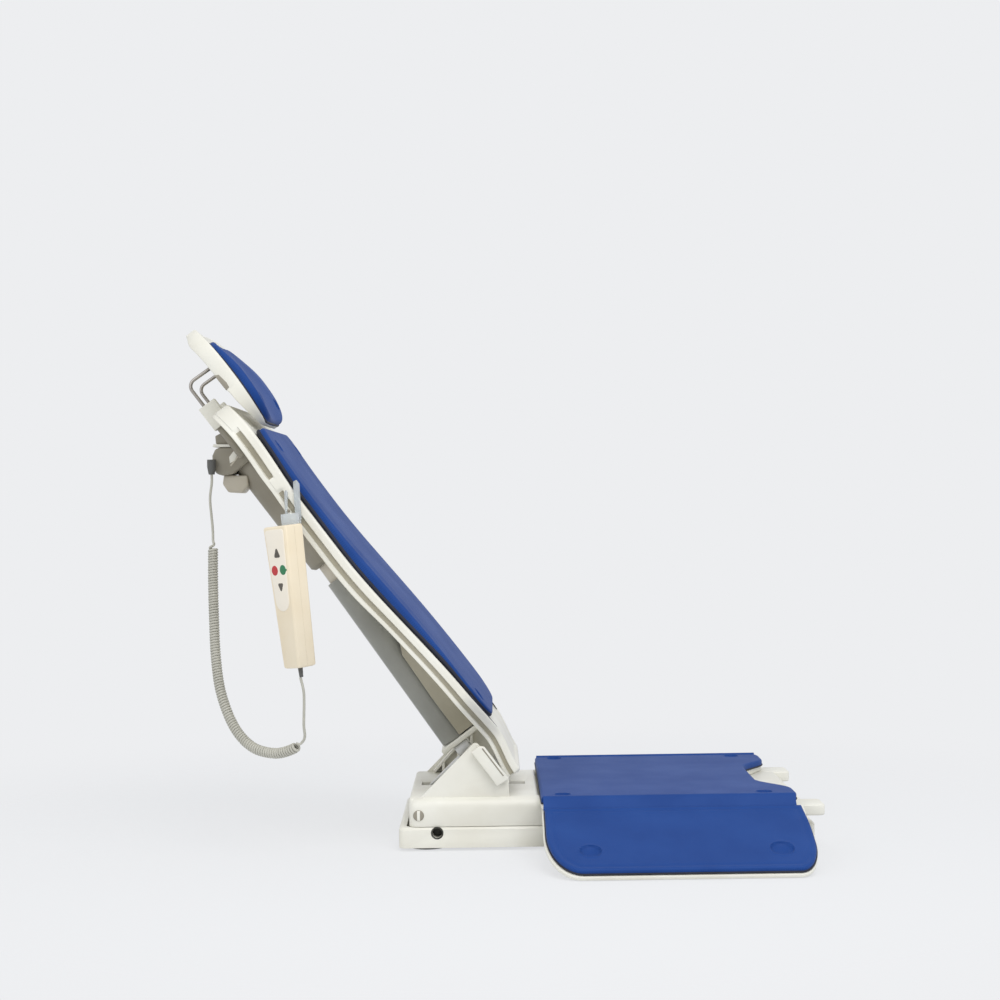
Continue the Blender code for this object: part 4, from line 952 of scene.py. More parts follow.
def rounded_span(half_width: float, ends: Sequence[Pair]) -> Pair:
    """Where a cover with round corners starts and ends across.

    Args:
        half_width: Half its width between the corners.
        ends: The radius of each end's corners, and how far into them the row lies.

    Returns:
        The start and the end.
    """
    half = half_width
    for corner, deep in ends:
        if deep > 0:
            half = half_width - corner + math.sqrt(max(corner * corner - deep * deep, 0))
    return -half, half


# Base and lift

@dataclass
class Base:
    """The tray on the bath floor, its cups and the folded scissor."""

    rounding: float = 1.6 * MM
    bar_rounding: float = 0.8 * MM
    shaft_rounding: float = 0.5 * MM
    bore_rounding: float = 0.6 * MM
    pivot_set_back: float = 0.93
    grommet_radius: float = 7.4 * MM
    grommet_wide: float = 1.1 * MM
    grommet_tall: float = 0.5 * MM
    head_radius: float = 7.4 * MM
    head_profile: Corners = ((0, -2), (1, -2), (1, 0.8), (0.86, 1.5), (0, 1.5))
    head_stand: float = 129.8 * MM
    head_rounding: float = 0.3 * MM
    slot_half: float = 2 * MM
    slot_reach: float = 0.9
    slot_low: float = 1 * MM
    slot_high: float = 1.9 * MM

    def build(self) -> None:
        """Dresses the tray, the cups and the arms."""
        refine("base_tray", WHITE, "base", self.rounding, 3)
        pivot = node_copy("base_pivot_shaft")
        pivot.transform(Matrix.Diagonal((1, self.pivot_set_back, 1, 1)))
        skin = softened(pivot, self.bore_rounding)
        # The shaft, set back in its bore, is painted near-black for the shade inside the bore.
        publish("base_pivot_shaft_skin", skin, PAINTED_BORE_SHADE, "base", ["base_pivot_shaft"])
        self.build_grommets()
        for end in ("rear", "front"):
            for side in Side:
                refine(f"suction_cup_{end}_{side}", RUBBER, "base", self.shaft_rounding)
        for side in Side:
            refine(f"outer_arm_{side}", STEEL, "scissor_outer", self.bar_rounding)
            refine(f"inner_arm_{side}", STEEL, "scissor_inner", self.bar_rounding)
            refine(f"upper_roller_{side}", NYLON, "scissor_outer", self.shaft_rounding)
            refine(f"lower_roller_{side}", NYLON, "scissor_inner", self.shaft_rounding)
        for node in ("centre_shaft", "upper_cross_shaft"):
            refine(node, STEEL, "scissor_outer", self.shaft_rounding)
        for node in ("lower_cross_shaft", "seat_pivot_shaft", "lift_crank"):
            refine(node, STEEL, "scissor_inner", self.shaft_rounding)
        refine("push_rod", STEEL, "drive_rod", self.shaft_rounding)
        refine("rod_fork", STEEL, "drive_rod", self.bar_rounding)
        self.build_pin_heads()

    def build_grommets(self) -> None:
        """The ring round the bore in each side of the tray, in the bore's near-black painted shade."""
        low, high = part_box("base_pivot_shaft")
        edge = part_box("base_tray")[1].y
        for side in Side:
            centre = Vector(((low.x + high.x) / 2, side.value * edge, (low.z + high.z) / 2))
            ring = [centre + self.grommet_radius * Vector((math.cos(a), 0, math.sin(a))) for a in around(40)]
            grommet = plain_mesh(hoop(ring, self.grommet_wide, self.grommet_tall, 8))
            publish(f"bore_grommet_{side}", grommet, PAINTED_BORE_SHADE, "base")

    def build_pin_heads(self) -> None:
        """The slotted heads on the ends of the seat's pivot."""
        low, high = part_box("seat_pivot_shaft")
        profile = [(share * self.head_radius, z * MM) for share, z in self.head_profile]
        bar = oblong(-self.slot_half, self.slot_half, self.slot_low, self.slot_high)
        reach = self.head_radius * self.slot_reach
        for side in Side:
            end = Vector(((low.x + high.x) / 2, side.value * self.head_stand, (low.z + high.z) / 2))
            place = Matrix.Translation(end) @ Matrix.Rotation(-side.value * math.pi / 2, 4, "X")
            head = turned(profile, 32)
            head.transform(place)
            publish(f"pin_head_{side}", softened(head, self.head_rounding), MOTOR_GREY, "scissor_inner")
            slot = block(bar, -reach, reach, place)
            publish(f"pin_slot_{side}", softened(slot, self.head_rounding), WHITE, "scissor_inner")


# Seat and flaps

@dataclass
class Seat:
    """The seat carriage, its plate, its cover and the two side flaps.

    The bracket's and the flange's ends, the flap's dimples as (along, radius, depth), and the fold's points
    as (past the seat's edge, over its cover) are in millimetres.
    """

    rear: float = 59 * MM
    front: float = 398 * MM
    half_width: float = 185 * MM
    fill: float = 0.9
    cover_thickness: float = 10 * MM
    cover_edge: float = 4 * MM
    # The dark cords round the seat's and flaps' covers are painted shade for the shadow of their side walls.
    cover_binding: Binding = Binding(1.2 * MM, 1.2 * MM, 1.2 * MM)
    dimple_across: float = 168 * MM
    dimple_places: Pair = (87.6 * MM, 355.7 * MM)
    dimple_size: Pair = (10.5 * MM, 4.5 * MM)
    notch_depth: float = 38 * MM
    notch_floor: float = 58 * MM
    notch_mouth: float = 140 * MM
    front_corner: float = 16 * MM
    front_corner_share: float = 0.5
    panel_rounding: float = 1.2 * MM
    lug_rounding: float = 2.5 * MM
    flap_width: float = 167 * MM
    flap_start: float = 15 * MM
    flap_rim: float = 3.5 * MM
    flap_reach: float = 6 * MM
    flap_shoulder: float = 70 * MM
    flap_shoulder_share: float = 0.7
    flap_thickness: float = 8 * MM
    flap_edge: float = 3 * MM
    flap_groove: float = 0.9 * MM
    flap_binding: Binding = Binding(1.5 * MM, 1.5 * MM, 1.5 * MM)
    flap_rear_corner: Pair = (45 * MM, 90 * MM)
    flap_front_corner: Pair = (27 * MM, 65 * MM)
    flap_dimple_share: float = 0.72
    flap_dimples: tuple[Point, ...] = ((116.9, 13.5, 5), (358.1, 15, 5.5))
    panel_thickness: float = 5 * MM
    floor_gap: float = 0.5 * MM
    fold_thickness: float = 1.8 * MM
    fold_points: Corners = ((-2.5, -0.9), (2.5, 1.6), (8.5, -0.4))
    fold_crest: Pair = (11 * MM, 9.4 * MM)
    fold_tuck: Pair = (1.5 * MM, 2.2 * MM)
    fold_inset: float = 2 * MM
    fold_shorter: float = 7 * MM
    deck_rounding: float = 5 * MM
    shoulder: float = 14 * MM
    shoulder_end: float = 12 * MM
    shoulder_turn: tuple[float, ...] = (0, 15, 30, 50, 70, 90)
    shoulder_front: float = 63 * MM
    shoulder_wall: float = 2 * MM
    carriage_sink: float = 0.9 * MM
    bracket_sink: float = 2.5 * MM
    bracket_foot: Point = (-105, 0, 71.3)
    bracket_head: Point = (-28, 0, 145.3)
    flange_foot: Point = (-96, 0, 71.3)
    flange_head: Point = (-34, 0, 139)
    flange_width: float = 15 * MM
    flange_wall: float = 4 * MM
    rib_places: tuple[float, ...] = (-80 * MM, -58 * MM, -38 * MM)

    def seat_span(self, y: float) -> Pair:
        """Where the seat cover starts and ends along X.

        Args:
            y: The distance across.

        Returns:
            The start and the end.
        """
        share = (self.notch_mouth - abs(y)) / (self.notch_mouth - self.notch_floor)
        deep = max(abs(y) - self.half_width + self.front_corner, 0) / self.front_corner
        corner = self.front_corner * self.front_corner_share * (1 - math.sqrt(max(1 - deep * deep, 0)))
        return self.rear, self.front - self.notch_depth * smoothstep(share) - corner

    def build_seat(self) -> None:
        """Dresses the carriage, the plate and the lugs, and lays the cover."""
        self.build_carriage()
        refine("seat_plate", WHITE, "seat", self.panel_rounding, 3)
        for side in Side:
            refine(f"front_lug_{side}", WHITE, "seat", self.lug_rounding, 3)
        self.build_brackets()
        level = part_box("seat_cover")[0].z
        dimples = []
        for side in Side:
            for x in self.dimple_places:
                y = side.value * self.dimple_across
                dimples.append(Dimple(y, x, *self.dimple_size))
        cover = Cover(
            first=-self.half_width, last=self.half_width, span=self.seat_span,
            place=lambda y, x, h: ORIGIN @ Vector((x, y, level + h)),
            thickness=self.cover_thickness, edge=self.cover_edge, dimples=dimples, rows=72,
        )
        cover.lay("seat_cover", "seat", self.cover_binding, self.fill)

    def build_carriage(self) -> None:
        """The carriage, with a soft shoulder round its rear deck."""
        low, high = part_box("seat_carriage")
        bm = node_copy("seat_carriage")
        bmesh.ops.connect_verts_concave(bm, faces=bm.faces[:])
        shoulder = []
        for edge in bm.edges:
            ends = [v.co for v in edge.verts]
            on_top = all(high.z - p.z < FIT for p in ends)
            on_side = all(abs(abs(p.y) - high.y) < FIT for p in ends)
            on_rear = all(p.x - low.x < FIT for p in ends)
            sharp = edge.calc_face_angle(0) > SHARP
            if sharp and (on_top and (on_side or on_rear) or on_side and on_rear):
                shoulder.append(edge)
        bmesh.ops.bevel(
            bm, geom=shoulder, offset=self.deck_rounding, segments=5, affect="EDGES", profile=0.5
        )
        publish("seat_carriage_skin", softened(bm, 1.0 * MM), WHITE, "seat", ["seat_carriage"])
        self.build_shoulders(low, high)

    def build_shoulders(self, low: Vector, high: Vector) -> None:
        """The soft moulding along each side of the carriage's rear deck.

        Args:
            low: The lower corner of the carriage's box.
            high: Its upper corner.
        """
        inner = high.y - self.deck_rounding
        wall = inner - self.shoulder_wall
        foot = low.z - self.carriage_sink
        stations = []
        for angle in self.shoulder_turn:
            turn = math.radians(angle)
            along = low.x + self.shoulder_end * (1 - math.cos(turn))
            stations.append((along, self.shoulder_end * (1 - math.sin(turn))))
        stations.append((ORIGIN.translation.x + self.shoulder_front, 0.0))
        for side in Side:
            rings = []
            for x, shrink in stations:
                radius = self.shoulder - shrink
                section = arc((inner, high.z - self.shoulder - FIT / 10), (radius, radius), 90, 0, 10)
                section += [(inner + radius, foot), (wall, foot), (wall, section[0][1])]
                rings.append([Vector((x, side.value * y, z)) for y, z in section])
            publish(f"carriage_shoulder_{side}", softened(loft(rings), 0.8 * MM), WHITE, "seat")

    def build_brackets(self) -> None:
        """The cheeks that carry the backrest, with a flange and ribs inside each, and the hinge pin."""
        refine("back_hinge_pin", STEEL, "seat", 0.8 * MM)
        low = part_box("bracket_left")[0]
        slope = (Vector(self.bracket_head) - Vector(self.bracket_foot)).normalized()
        wall = Vector((slope.z, 0, -slope.x)) * self.flange_wall
        foot = ORIGIN @ (Vector(self.flange_foot) * MM) + slope * self.flange_wall
        head = ORIGIN @ (Vector(self.flange_head) * MM)
        flange = [(p.x, p.z) for p in (foot, head, head + wall, foot + wall)]
        for side in Side:
            cheek = node_copy(f"bracket_{side}")
            for vert in cheek.verts:
                if vert.co.z < low.z + FIT:
                    vert.co.z -= self.bracket_sink
            skin = softened(cheek, self.panel_rounding, 3)
            publish(f"bracket_{side}_skin", skin, WHITE, "seat", [f"bracket_{side}"])
            near, far = side.between(low.y, low.y - self.flange_width)
            publish(f"bracket_flange_{side}", softened(block(flange, near, far), 0.8 * MM), WHITE, "seat")
            ribs = []
            for place in self.rib_places:
                left = ORIGIN.translation.x + place
                top = foot.z + (left - foot.x) * slope.z / slope.x
                ribs.append(block(oblong(left, left + self.flange_wall, low.z, top), near, far))
            publish(f"bracket_ribs_{side}", softened(joined(ribs), 0.6 * MM), WHITE, "seat")

    def flap_span(self, v: float) -> Pair:
        """Where a flap's cover starts and ends along X.

        Args:
            v: The distance from the flap's hinge.

        Returns:
            The start and the end.
        """
        ends = []
        outer = self.flap_width - self.flap_rim
        for reach, deep in (self.flap_rear_corner, self.flap_front_corner):
            depth = max(v - outer + deep, 0) / deep
            ends.append(reach * (1 - math.sqrt(max(1 - depth * depth, 0))))
        shoulder = self.flap_reach * (1 - smoothstep(v / self.flap_shoulder)) * self.flap_shoulder_share
        rear = self.rear + self.flap_rim + ends[0]
        return rear, self.front + self.flap_reach - self.flap_rim / 3 - ends[1] - shoulder

    def build_flap(self, side: Side) -> None:
        """Dresses one flap's panel and lays its cover.

        Args:
            side: The flap's side.
        """
        body = f"flap_{side}"
        refine(f"flap_panel_{side}", WHITE, body, self.panel_rounding, 3)
        hinge = joint_place(body)
        under = self.panel_thickness + FIT / 2
        lift = math.asin((hinge.z - self.floor_gap) / math.hypot(self.flap_width, under))
        droop = lift - math.atan2(under, self.flap_width)
        out = Vector((0, side.value * math.cos(droop), -math.sin(droop)))
        up = Vector((0, side.value * math.sin(droop), math.cos(droop)))
        start = Vector((ORIGIN.translation.x, hinge.y, hinge.z))

        def place(v: float, x: float, h: float) -> Vector:
            """A point of the flap from its distances out, along and up."""
            return start + Vector((x, 0, 0)) + v * out + (h + FIT / 2) * up

        row = self.flap_dimple_share * self.flap_width
        dimples = [Dimple(row, x * MM, radius * MM, deep * MM) for x, radius, deep in self.flap_dimples]
        cover = Cover(
            first=self.flap_start, last=self.flap_width - self.flap_rim, span=self.flap_span, place=place,
            thickness=self.flap_thickness, edge=self.flap_edge, dimples=dimples, groove=self.flap_groove,
        )
        cover.lay(f"flap_cover_{side}", body, self.flap_binding, self.fill)
        self.build_fold(side, place, start)

    def build_fold(
        self, side: Side, place: Callable[[float, float, float], Vector], start: Vector
    ) -> None:
        """The strip of cover that bends between the seat and a flap.

        Args:
            side: The flap's side.
            place: A point of the flap from its distances out, along and up.
            start: The flap's hinge at the seat's rear datum.
        """
        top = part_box("seat_cover")[1].z
        section = []
        for out, rise in self.fold_points:
            section.append(Vector((start.x, side.value * (self.half_width + out * MM), top + rise * MM)))
        crest_out, crest_rise = self.fold_crest
        section.append(place(crest_out, 0, crest_rise))
        under, drop = self.fold_tuck
        section.append(place(self.flap_start + under, 0, self.flap_thickness - drop))
        upper = catmull(section, 5)
        down = Vector((0, -side.value * 0.5, -1)).normalized() * self.fold_thickness
        ring = upper + [p + down for p in reversed(upper)]
        rings = []
        for share in eased(24):
            x = self.rear + self.fold_inset + (self.front - self.rear - self.fold_shorter) * share
            rings.append([p + Vector((x, 0, 0)) for p in ring])
        strip = publish(f"fold_strip_{side}", plain_mesh(loft(rings)), BLUE, None)
        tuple(section[1])
        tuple(section[3])
        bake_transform(strip)


# Shells with a rim

Inset = Callable[[float], float]
Section = Sequence[tuple[float | Inset, float, float]]


@dataclass
class Rim:
    """A panel's rim, mirrored across its middle.

    The edge is the right half of its outline as (across, up), from the lower middle to the upper middle.
    Surface gives how far forward the front lies at (across, up), and depth how deep the rim is there. A
    section is a row of (inset, rise over the front, share of the depth behind it); an inset may change with
    the height.
    """

    edge: Outline
    surface: Callable[[float, float], float]
    depth: Callable[[float, float], float]

    def lifted(self, across: float, up: float, rise: float, share: float) -> Vector:
        """A point at its rise over the front and its share of the depth behind it."""
        front = self.surface(across, up) + rise - share * self.depth(across, up)
        return Vector((front, across, up))

    def loops(self, bm: Shape, section: Section) -> list[list[bmesh.types.BMVert]]:
        """Lays a loop round the rim for each point of a section, and joins each to the next.

        Args:
            bm: The shape that the loops are added to.
            section: The section.

        Returns:
            The points of each loop.
        """
        flat = [Vector(p) for p in self.edge]
        rows = []
        for inset, rise, share in section:
            right = []
            for i, point in enumerate(flat):
                run = flat[min(i + 1, len(flat) - 1)] - flat[max(i - 1, 0)]
                normal = Vector((run.y, -run.x)).normalized()
                x, y = point - normal * (inset(point.y) if callable(inset) else inset)
                right.append(self.lifted(x, y, rise, share))
            left = [Vector((p.x, -p.y, p.z)) for p in reversed(right)]
            rows.append([bm.verts.new(p) for p in right + left])
        bridge(bm, rows)
        return rows

    def shell(self, section: Section, columns: int) -> Mesh:
        """The panel and its rim as one shell in the backrest's frame.

        Args:
            section: The rim, from the rear of the panel over the rim to its front.
            columns: How many strips the panel has across.

        Returns:
            The closed mesh.
        """
        bm = bmesh.new()
        loops = self.loops(bm, section)
        for loop, (_, rise, share) in ((loops[0], section[0]), (loops[-1], section[-1])):
            rows = []
            for i in range(len(self.edge)):
                right, left = loop[i], loop[len(loop) - 1 - i]
                row = [right]
                for k in range(1, columns):
                    mid = right.co.lerp(left.co, k / columns)
                    row.append(bm.verts.new(self.lifted(mid.y, mid.z, rise, share)))
                rows.append(row + [left])
            for lower, upper in zip(rows, rows[1:]):
                for k in range(columns):
                    bm.faces.new((lower[k], lower[k + 1], upper[k + 1], upper[k]))
        return self.cleaned(bm)

    def band(self, section: Section) -> Mesh:
        """A closed band that follows the rim.

        Args:
            section: The band's section, which ends where it starts.

        Returns:
            The closed mesh.
        """
        bm = bmesh.new()
        self.loops(bm, section)
        return self.cleaned(bm)

    @staticmethod
    def cleaned(bm: Shape) -> Mesh:
        """Merges a shape's doubled points and puts it in the backrest's frame.

        Args:
            bm: The shape, which is used up.

        Returns:
            The mesh.
        """
        bmesh.ops.remove_doubles(bm, verts=bm.verts[:], dist=MERGE)
        bmesh.ops.dissolve_degenerate(bm, dist=MERGE / 10, edges=bm.edges[:])
        bmesh.ops.recalc_face_normals(bm, faces=bm.faces[:])
        return plain_mesh(bm, BACK)


# Backrest

@dataclass
class Backrest:
    """The backrest's shell and cover.

    The rim's deepenings as (growth, start, run), and the outlines of the hinge arm and its slot, are in
    millimetres.
    """

    foot: float = -15 * MM
    length: float = 624 * MM
    half_width: float = 168 * MM
    foot_half_width: float = 112 * MM
    foot_corner: float = 4 * MM
    taper_start: float = 35 * MM
    taper_end: float = 120 * MM
    top_corner: float = 70 * MM
    lumbar: float = 35.8 * MM
    fall: float = 19.2 * MM
    fall_start: float = 90 * MM
    fall_run: float = 280 * MM
    rise: float = 5.5 * MM
    rise_start: float = 450 * MM
    rise_run: float = 110 * MM
    tuck: float = 10 * MM
    tuck_start: float = 50 * MM
    roll_start: float = 60 * MM
    roll: float = 10 * MM
    bead: float = 2.2 * MM
    depth: float = 20 * MM
    deepenings: tuple[Point, ...] = ((3, 240, 80), (2, 480, 40))
    wall: float = 6 * MM
    step: float = 3.2 * MM
    lip: float = 1 * MM
    bridge_start: float = 478 * MM
    bridge_run: float = 6 * MM
    slot_depth: float = 5.5 * MM
    slot_start: float = 500 * MM
    slot_start_run: float = 5 * MM
    slot_end: float = 575 * MM
    slot_end_run: float = 8 * MM
    inlay_stand: float = 0.4 * MM
    inlay_least: float = 1.6 * MM
    inlay_back: float = 6.2 * MM
    pad_bottom: float = 68 * MM
    pad_top: float = 566 * MM
    pad_half_width: float = 155 * MM
    pad_bottom_corner: float = 70 * MM
    pad_top_corner: float = 28 * MM
    pad_thickness: float = 8 * MM
    pad_edge: float = 4 * MM
    pad_crown: float = 2 * MM
    pad_fill: float = 0.85
    pad_binding: Binding = Binding(2 * MM, 2.9 * MM, -2.1 * MM)
    pad_mean: float = 38.5 * MM
    pad_wave: float = 6.3 * MM
    pad_peak: float = 140 * MM
    pad_half_wave: float = 300 * MM
    pad_foot_rise: float = 1.5 * MM
    pad_foot_start: float = 150 * MM
    pad_foot_run: float = 80 * MM
    dimple_heights: Pair = (102 * MM, 534 * MM)
    dimple_across: float = 118 * MM
    dimple_size: Pair = (10 * MM, 4.5 * MM)
    # The pad stands over the rim on a band whose dark cord is painted shade for the shadowed gap between pad
    # and rim; thinner below.
    gasket: float = 5 * MM
    gasket_foot: float = 2 * MM
    gasket_start: float = 190 * MM
    gasket_run: float = 110 * MM
    tail_head: float = 112 * MM
    tail_foot: float = 50 * MM
    tail_inset: float = 10 * MM
    tail_stand: float = 1.6 * MM
    tail_radius: float = 2.6 * MM
    tail_thinning: float = 0.8
    foot_bar: float = 45 * MM
    foot_bar_inset: float = 5 * MM
    foot_bar_set_back: float = 3 * MM
    foot_bar_depth: float = 15 * MM
    arm_inner: float = 124 * MM
    arm_outer: float = 130 * MM
    arm: Corners = ((-9.5, -11), (9, -13), (9, 42), (4, 47), (-9.5, 47))
    arm_slot: Corners = ((4.6, -5), (6.4, -5), (6.4, 42), (4.6, 42))
    arm_slot_stand: float = 0.15 * MM
    arm_slot_depth: float = 1 * MM
    rib_count: int = 9
    rib_first: float = 126 * MM
    rib_pitch: float = 53 * MM
    rib_inner: float = 73 * MM
    rib_length: float = 86 * MM
    rib_depth: float = 9 * MM
    rib_sink: float = 4 * MM
    rib_thickness: float = 3 * MM
    rib_rounding: float = 0.06

    def front(self, s: float) -> float:
        """How far forward the shell's front lies: a lumbar bulge, tucked in below and rolled back on top.

        Args:
            s: The height up the backrest.

        Returns:
            The distance forward.
        """
        fall = self.fall * smoothstep((s - self.fall_start) / self.fall_run)
        rise = self.rise * smoothstep((s - self.rise_start) / self.rise_run)
        tuck = self.tuck * smoothstep((self.tuck_start - s) / (self.tuck_start - self.foot))
        rolled = max(s - self.length + self.roll_start, 0) / self.roll_start
        return self.lumbar - fall + rise - tuck - self.roll * rolled * rolled

    def rim_depth(self, s: float) -> float:
        """How deep the shell's rim is, which grows in two steps up its length.

        Args:
            s: The height up the backrest.

        Returns:
            The depth.
        """
        depth = self.depth
        for growth, start, run in self.deepenings:
            depth += growth * MM * smoothstep((s - start * MM) / (run * MM))
        return depth

    def slot(self, s: float) -> float:
        """How deep the recess in the side wall is: a long one, a bridge, and a groove above it.

        Args:
            s: The height up the backrest.

        Returns:
            The depth.
        """
        lower = self.step * (1 - smoothstep((s - self.bridge_start) / self.bridge_run))
        opened = smoothstep((s - self.slot_start) / self.slot_start_run)
        closed = smoothstep((s - self.slot_end) / self.slot_end_run)
        return lower + self.slot_depth * (opened * (1 - closed))

    def inlay_inset(self, s: float) -> float:
        """How far in the painted-shade lining of the side wall's recess lies, hidden where there is no
        recess.
        """
        return max(self.slot(s) - self.inlay_stand, self.inlay_least)

    def half_width_at(self, share: float) -> float:
        """Half the shell's width at a share of the way up its taper."""
        return self.foot_half_width + smoothstep(share) * (self.half_width - self.foot_half_width)

    def edge(self) -> Outline:
        """The right half of the shell's outline, from the lower middle to the upper middle.

        Returns:
            The outline as (across, up).
        """
        radius = (self.foot_corner, self.foot_corner)
        flat = self.foot_half_width - self.foot_corner
        points = [(0.0, self.foot), (flat, self.foot)]
        points += arc((flat, self.foot + self.foot_corner), radius, -60, 0, 3)
        steps = 8
        for i in range(1, steps):
            points.append((self.foot_half_width, self.foot + (self.taper_start - self.foot) * i / steps))
        steps = 20
        for i in range(steps + 1):
            s = self.taper_start + (self.taper_end - self.taper_start) * i / steps
            points.append((self.half_width_at(i / steps), s))
        corner = self.length - self.top_corner
        steps = 150
        for i in range(1, steps):
            points.append((self.half_width, self.taper_end + (corner - self.taper_end) * i / steps))
        middle = (self.half_width - self.top_corner, corner)
        points += arc(middle, (self.top_corner, self.top_corner), 0, 90, 18)
        return points + [(0.0, self.length)]

    def pad_base(self, s: float) -> float:
        """How far forward the pad's foot lies, over the band whose dark cord is painted shade."""
        thin = smoothstep((self.gasket_start - s) / self.gasket_run)
        return self.front(s) + self.bead + self.gasket + (self.gasket_foot - self.gasket) * thin

    def pad_place(self, s: float, y: float, h: float) -> Vector:
        """A point of the pad, whose face keeps a softer wave than the shell's.

        Args:
            s: The height up the backrest.
            y: The distance across.
            h: The height above the pad's foot, on a pad of even thickness.

        Returns:
            The point.
        """
        face = self.pad_mean + self.pad_wave * math.cos(math.pi * (s - self.pad_peak) / self.pad_half_wave)
        face += self.pad_foot_rise * smoothstep((self.pad_foot_start - s) / self.pad_foot_run)
        base = self.pad_base(s)
        return BACK @ Vector((base + h * (face - base) / self.pad_thickness, y, s))

    def pad_span(self, s: float) -> Pair:
        """Where the pad starts and ends across.

        Args:
            s: The height up the backrest.

        Returns:
            The start and the end.
        """
        foot = (self.pad_bottom_corner, self.pad_bottom + self.pad_bottom_corner - s)
        head = (self.pad_top_corner, s - self.pad_top + self.pad_top_corner)
        return rounded_span(self.pad_half_width, (foot, head))

    def build(self) -> None:
        """Dresses the shell and lays the pad."""
        self.build_shell()
        self.build_foot()
        self.build_ribs()
        dimples = []
        for s in self.dimple_heights:
            for y in (-self.dimple_across, self.dimple_across):
                dimples.append(Dimple(s, y, *self.dimple_size))
        cover = Cover(
            first=self.pad_bottom, last=self.pad_top, span=self.pad_span, place=self.pad_place,
            thickness=self.pad_thickness, edge=self.pad_edge, crown=self.pad_crown, dimples=dimples,
            rows=90, columns=48,
        )
        cover.lay("backrest_cover", "backrest", self.pad_binding, self.pad_fill)
        self.build_tails()

    def build_shell(self) -> None:
        """The shell with its beaded rim, and a lining of painted shade in the rim's recess."""
        rim = Rim(self.edge(), lambda y, s: self.front(s), lambda y, s: self.rim_depth(s))
        section = [
            (14 * MM, -self.wall, 0), (10 * MM, -self.wall, 0), (7.5 * MM, -8 * MM, 0), (7 * MM, 3 * MM, 1),
            (6.4 * MM, 0.8 * MM, 1), (4.5 * MM, 0, 1), (1.8 * MM, 0.2 * MM, 1), (self.lip, 1 * MM, 1),
            (self.lip, 0, 0.76), (self.slot, 0, 0.71), (self.slot, 0, 0.42), (0, 0, 0.38),
            (0, -2.2 * MM, 0), (0.5 * MM, 0.4 * MM, 0), (2 * MM, 1.8 * MM, 0), (4.2 * MM, self.bead, 0),
            (6.2 * MM, 1.7 * MM, 0), (8.5 * MM, 0.3 * MM, 0), (10.5 * MM, 0, 0), (14 * MM, 0, 0),
        ]
        publish("backrest_shell_skin", rim.shell(section, 6), WHITE, "backrest", ["backrest_shell"])
        shade_lining = [
            (self.inlay_inset, 0, 0.7), (self.inlay_inset, 0, 0.43), (self.inlay_back, 0, 0.43),
            (self.inlay_back, 0, 0.7), (self.inlay_inset, 0, 0.7),
        ]
        publish("backrest_inlay", rim.band(shade_lining), PAINTED_SHADE, "backrest")

    def build_tails(self) -> None:
        """Dark cords of painted shade that run out below the pad, inside each side of the rim, for the
        shadowed gap there.
        """
        steps = 12
        for side in Side:
            points, sizes = [], []
            for i in range(steps + 1):
                s = self.tail_head + (self.tail_foot - self.tail_head) * i / steps
                half = self.half_width_at((s - self.taper_start) / (self.taper_end - self.taper_start))
                y = side.value * (half - self.tail_inset)
                points.append(BACK @ Vector((self.front(s) + self.tail_stand, y, s)))
                sizes.append(self.tail_radius * (1 - self.tail_thinning * i / steps))
            publish(f"seal_tail_{side}", plain_mesh(sweep(points, sizes, 10)), PAINTED_EDGE_SHADE, "backrest")

    def build_foot(self) -> None:
        """The solid bar at the shell's foot, and the arm outside each cheek, whose slot is a dark sheet of
        painted shade.
        """
        rings = []
        half = self.foot_half_width - self.foot_bar_inset
        for s in (self.foot + 0.5 * MM, 0.0, self.foot_bar):
            front = self.front(s) - self.foot_bar_set_back
            rear = front - self.foot_bar_depth
            outline = [(front, -half), (front, half), (rear, half), (rear, -half)]
            rings.append([BACK @ Vector((t, y, s)) for t, y in outline])
        publish("backrest_foot_bar", softened(loft(rings), 2 * MM, 3), WHITE, "backrest")
        face = self.arm_outer + self.arm_slot_stand
        for side in Side:
            arm = block(metres(self.arm), *side.between(self.arm_inner, self.arm_outer), BACK)
            publish(f"hinge_arm_{side}", softened(arm, 1.4 * MM, 3), WHITE, "backrest")
            # The slot is a thin sheet in the motor's dark grey on the arm's face: painted shade of a slot.
            slot = block(metres(self.arm_slot), *side.between(face - self.arm_slot_depth, face), BACK)
            publish(f"hinge_arm_slot_{side}", plain_mesh(slot), MOTOR_GREY, "backrest")

    def build_ribs(self) -> None:
        """The ribs across the pocket behind the panel, on both sides of the drive."""
        bm = bmesh.new()
        bmesh.ops.create_cube(bm, size=1)
        bmesh.ops.bevel(bm, geom=bm.edges[:], offset=self.rib_rounding, segments=2, affect="EDGES")
        middle = self.rib_inner + self.rib_length / 2
        points = []
        for k in range(self.rib_count):
            s = self.rib_first + k * self.rib_pitch
            for side in Side:
                points.append(Vector((self.front(s) - self.wall - self.rib_sink, side.value * middle, s)))
        size = (self.rib_depth, self.rib_length, self.rib_thickness)
        ribs = scattered(plain_mesh(bm), size, points, WHITE)
        ribs.transform(BACK)
        publish("backrest_ribs", ribs, WHITE, "backrest")


# Drive

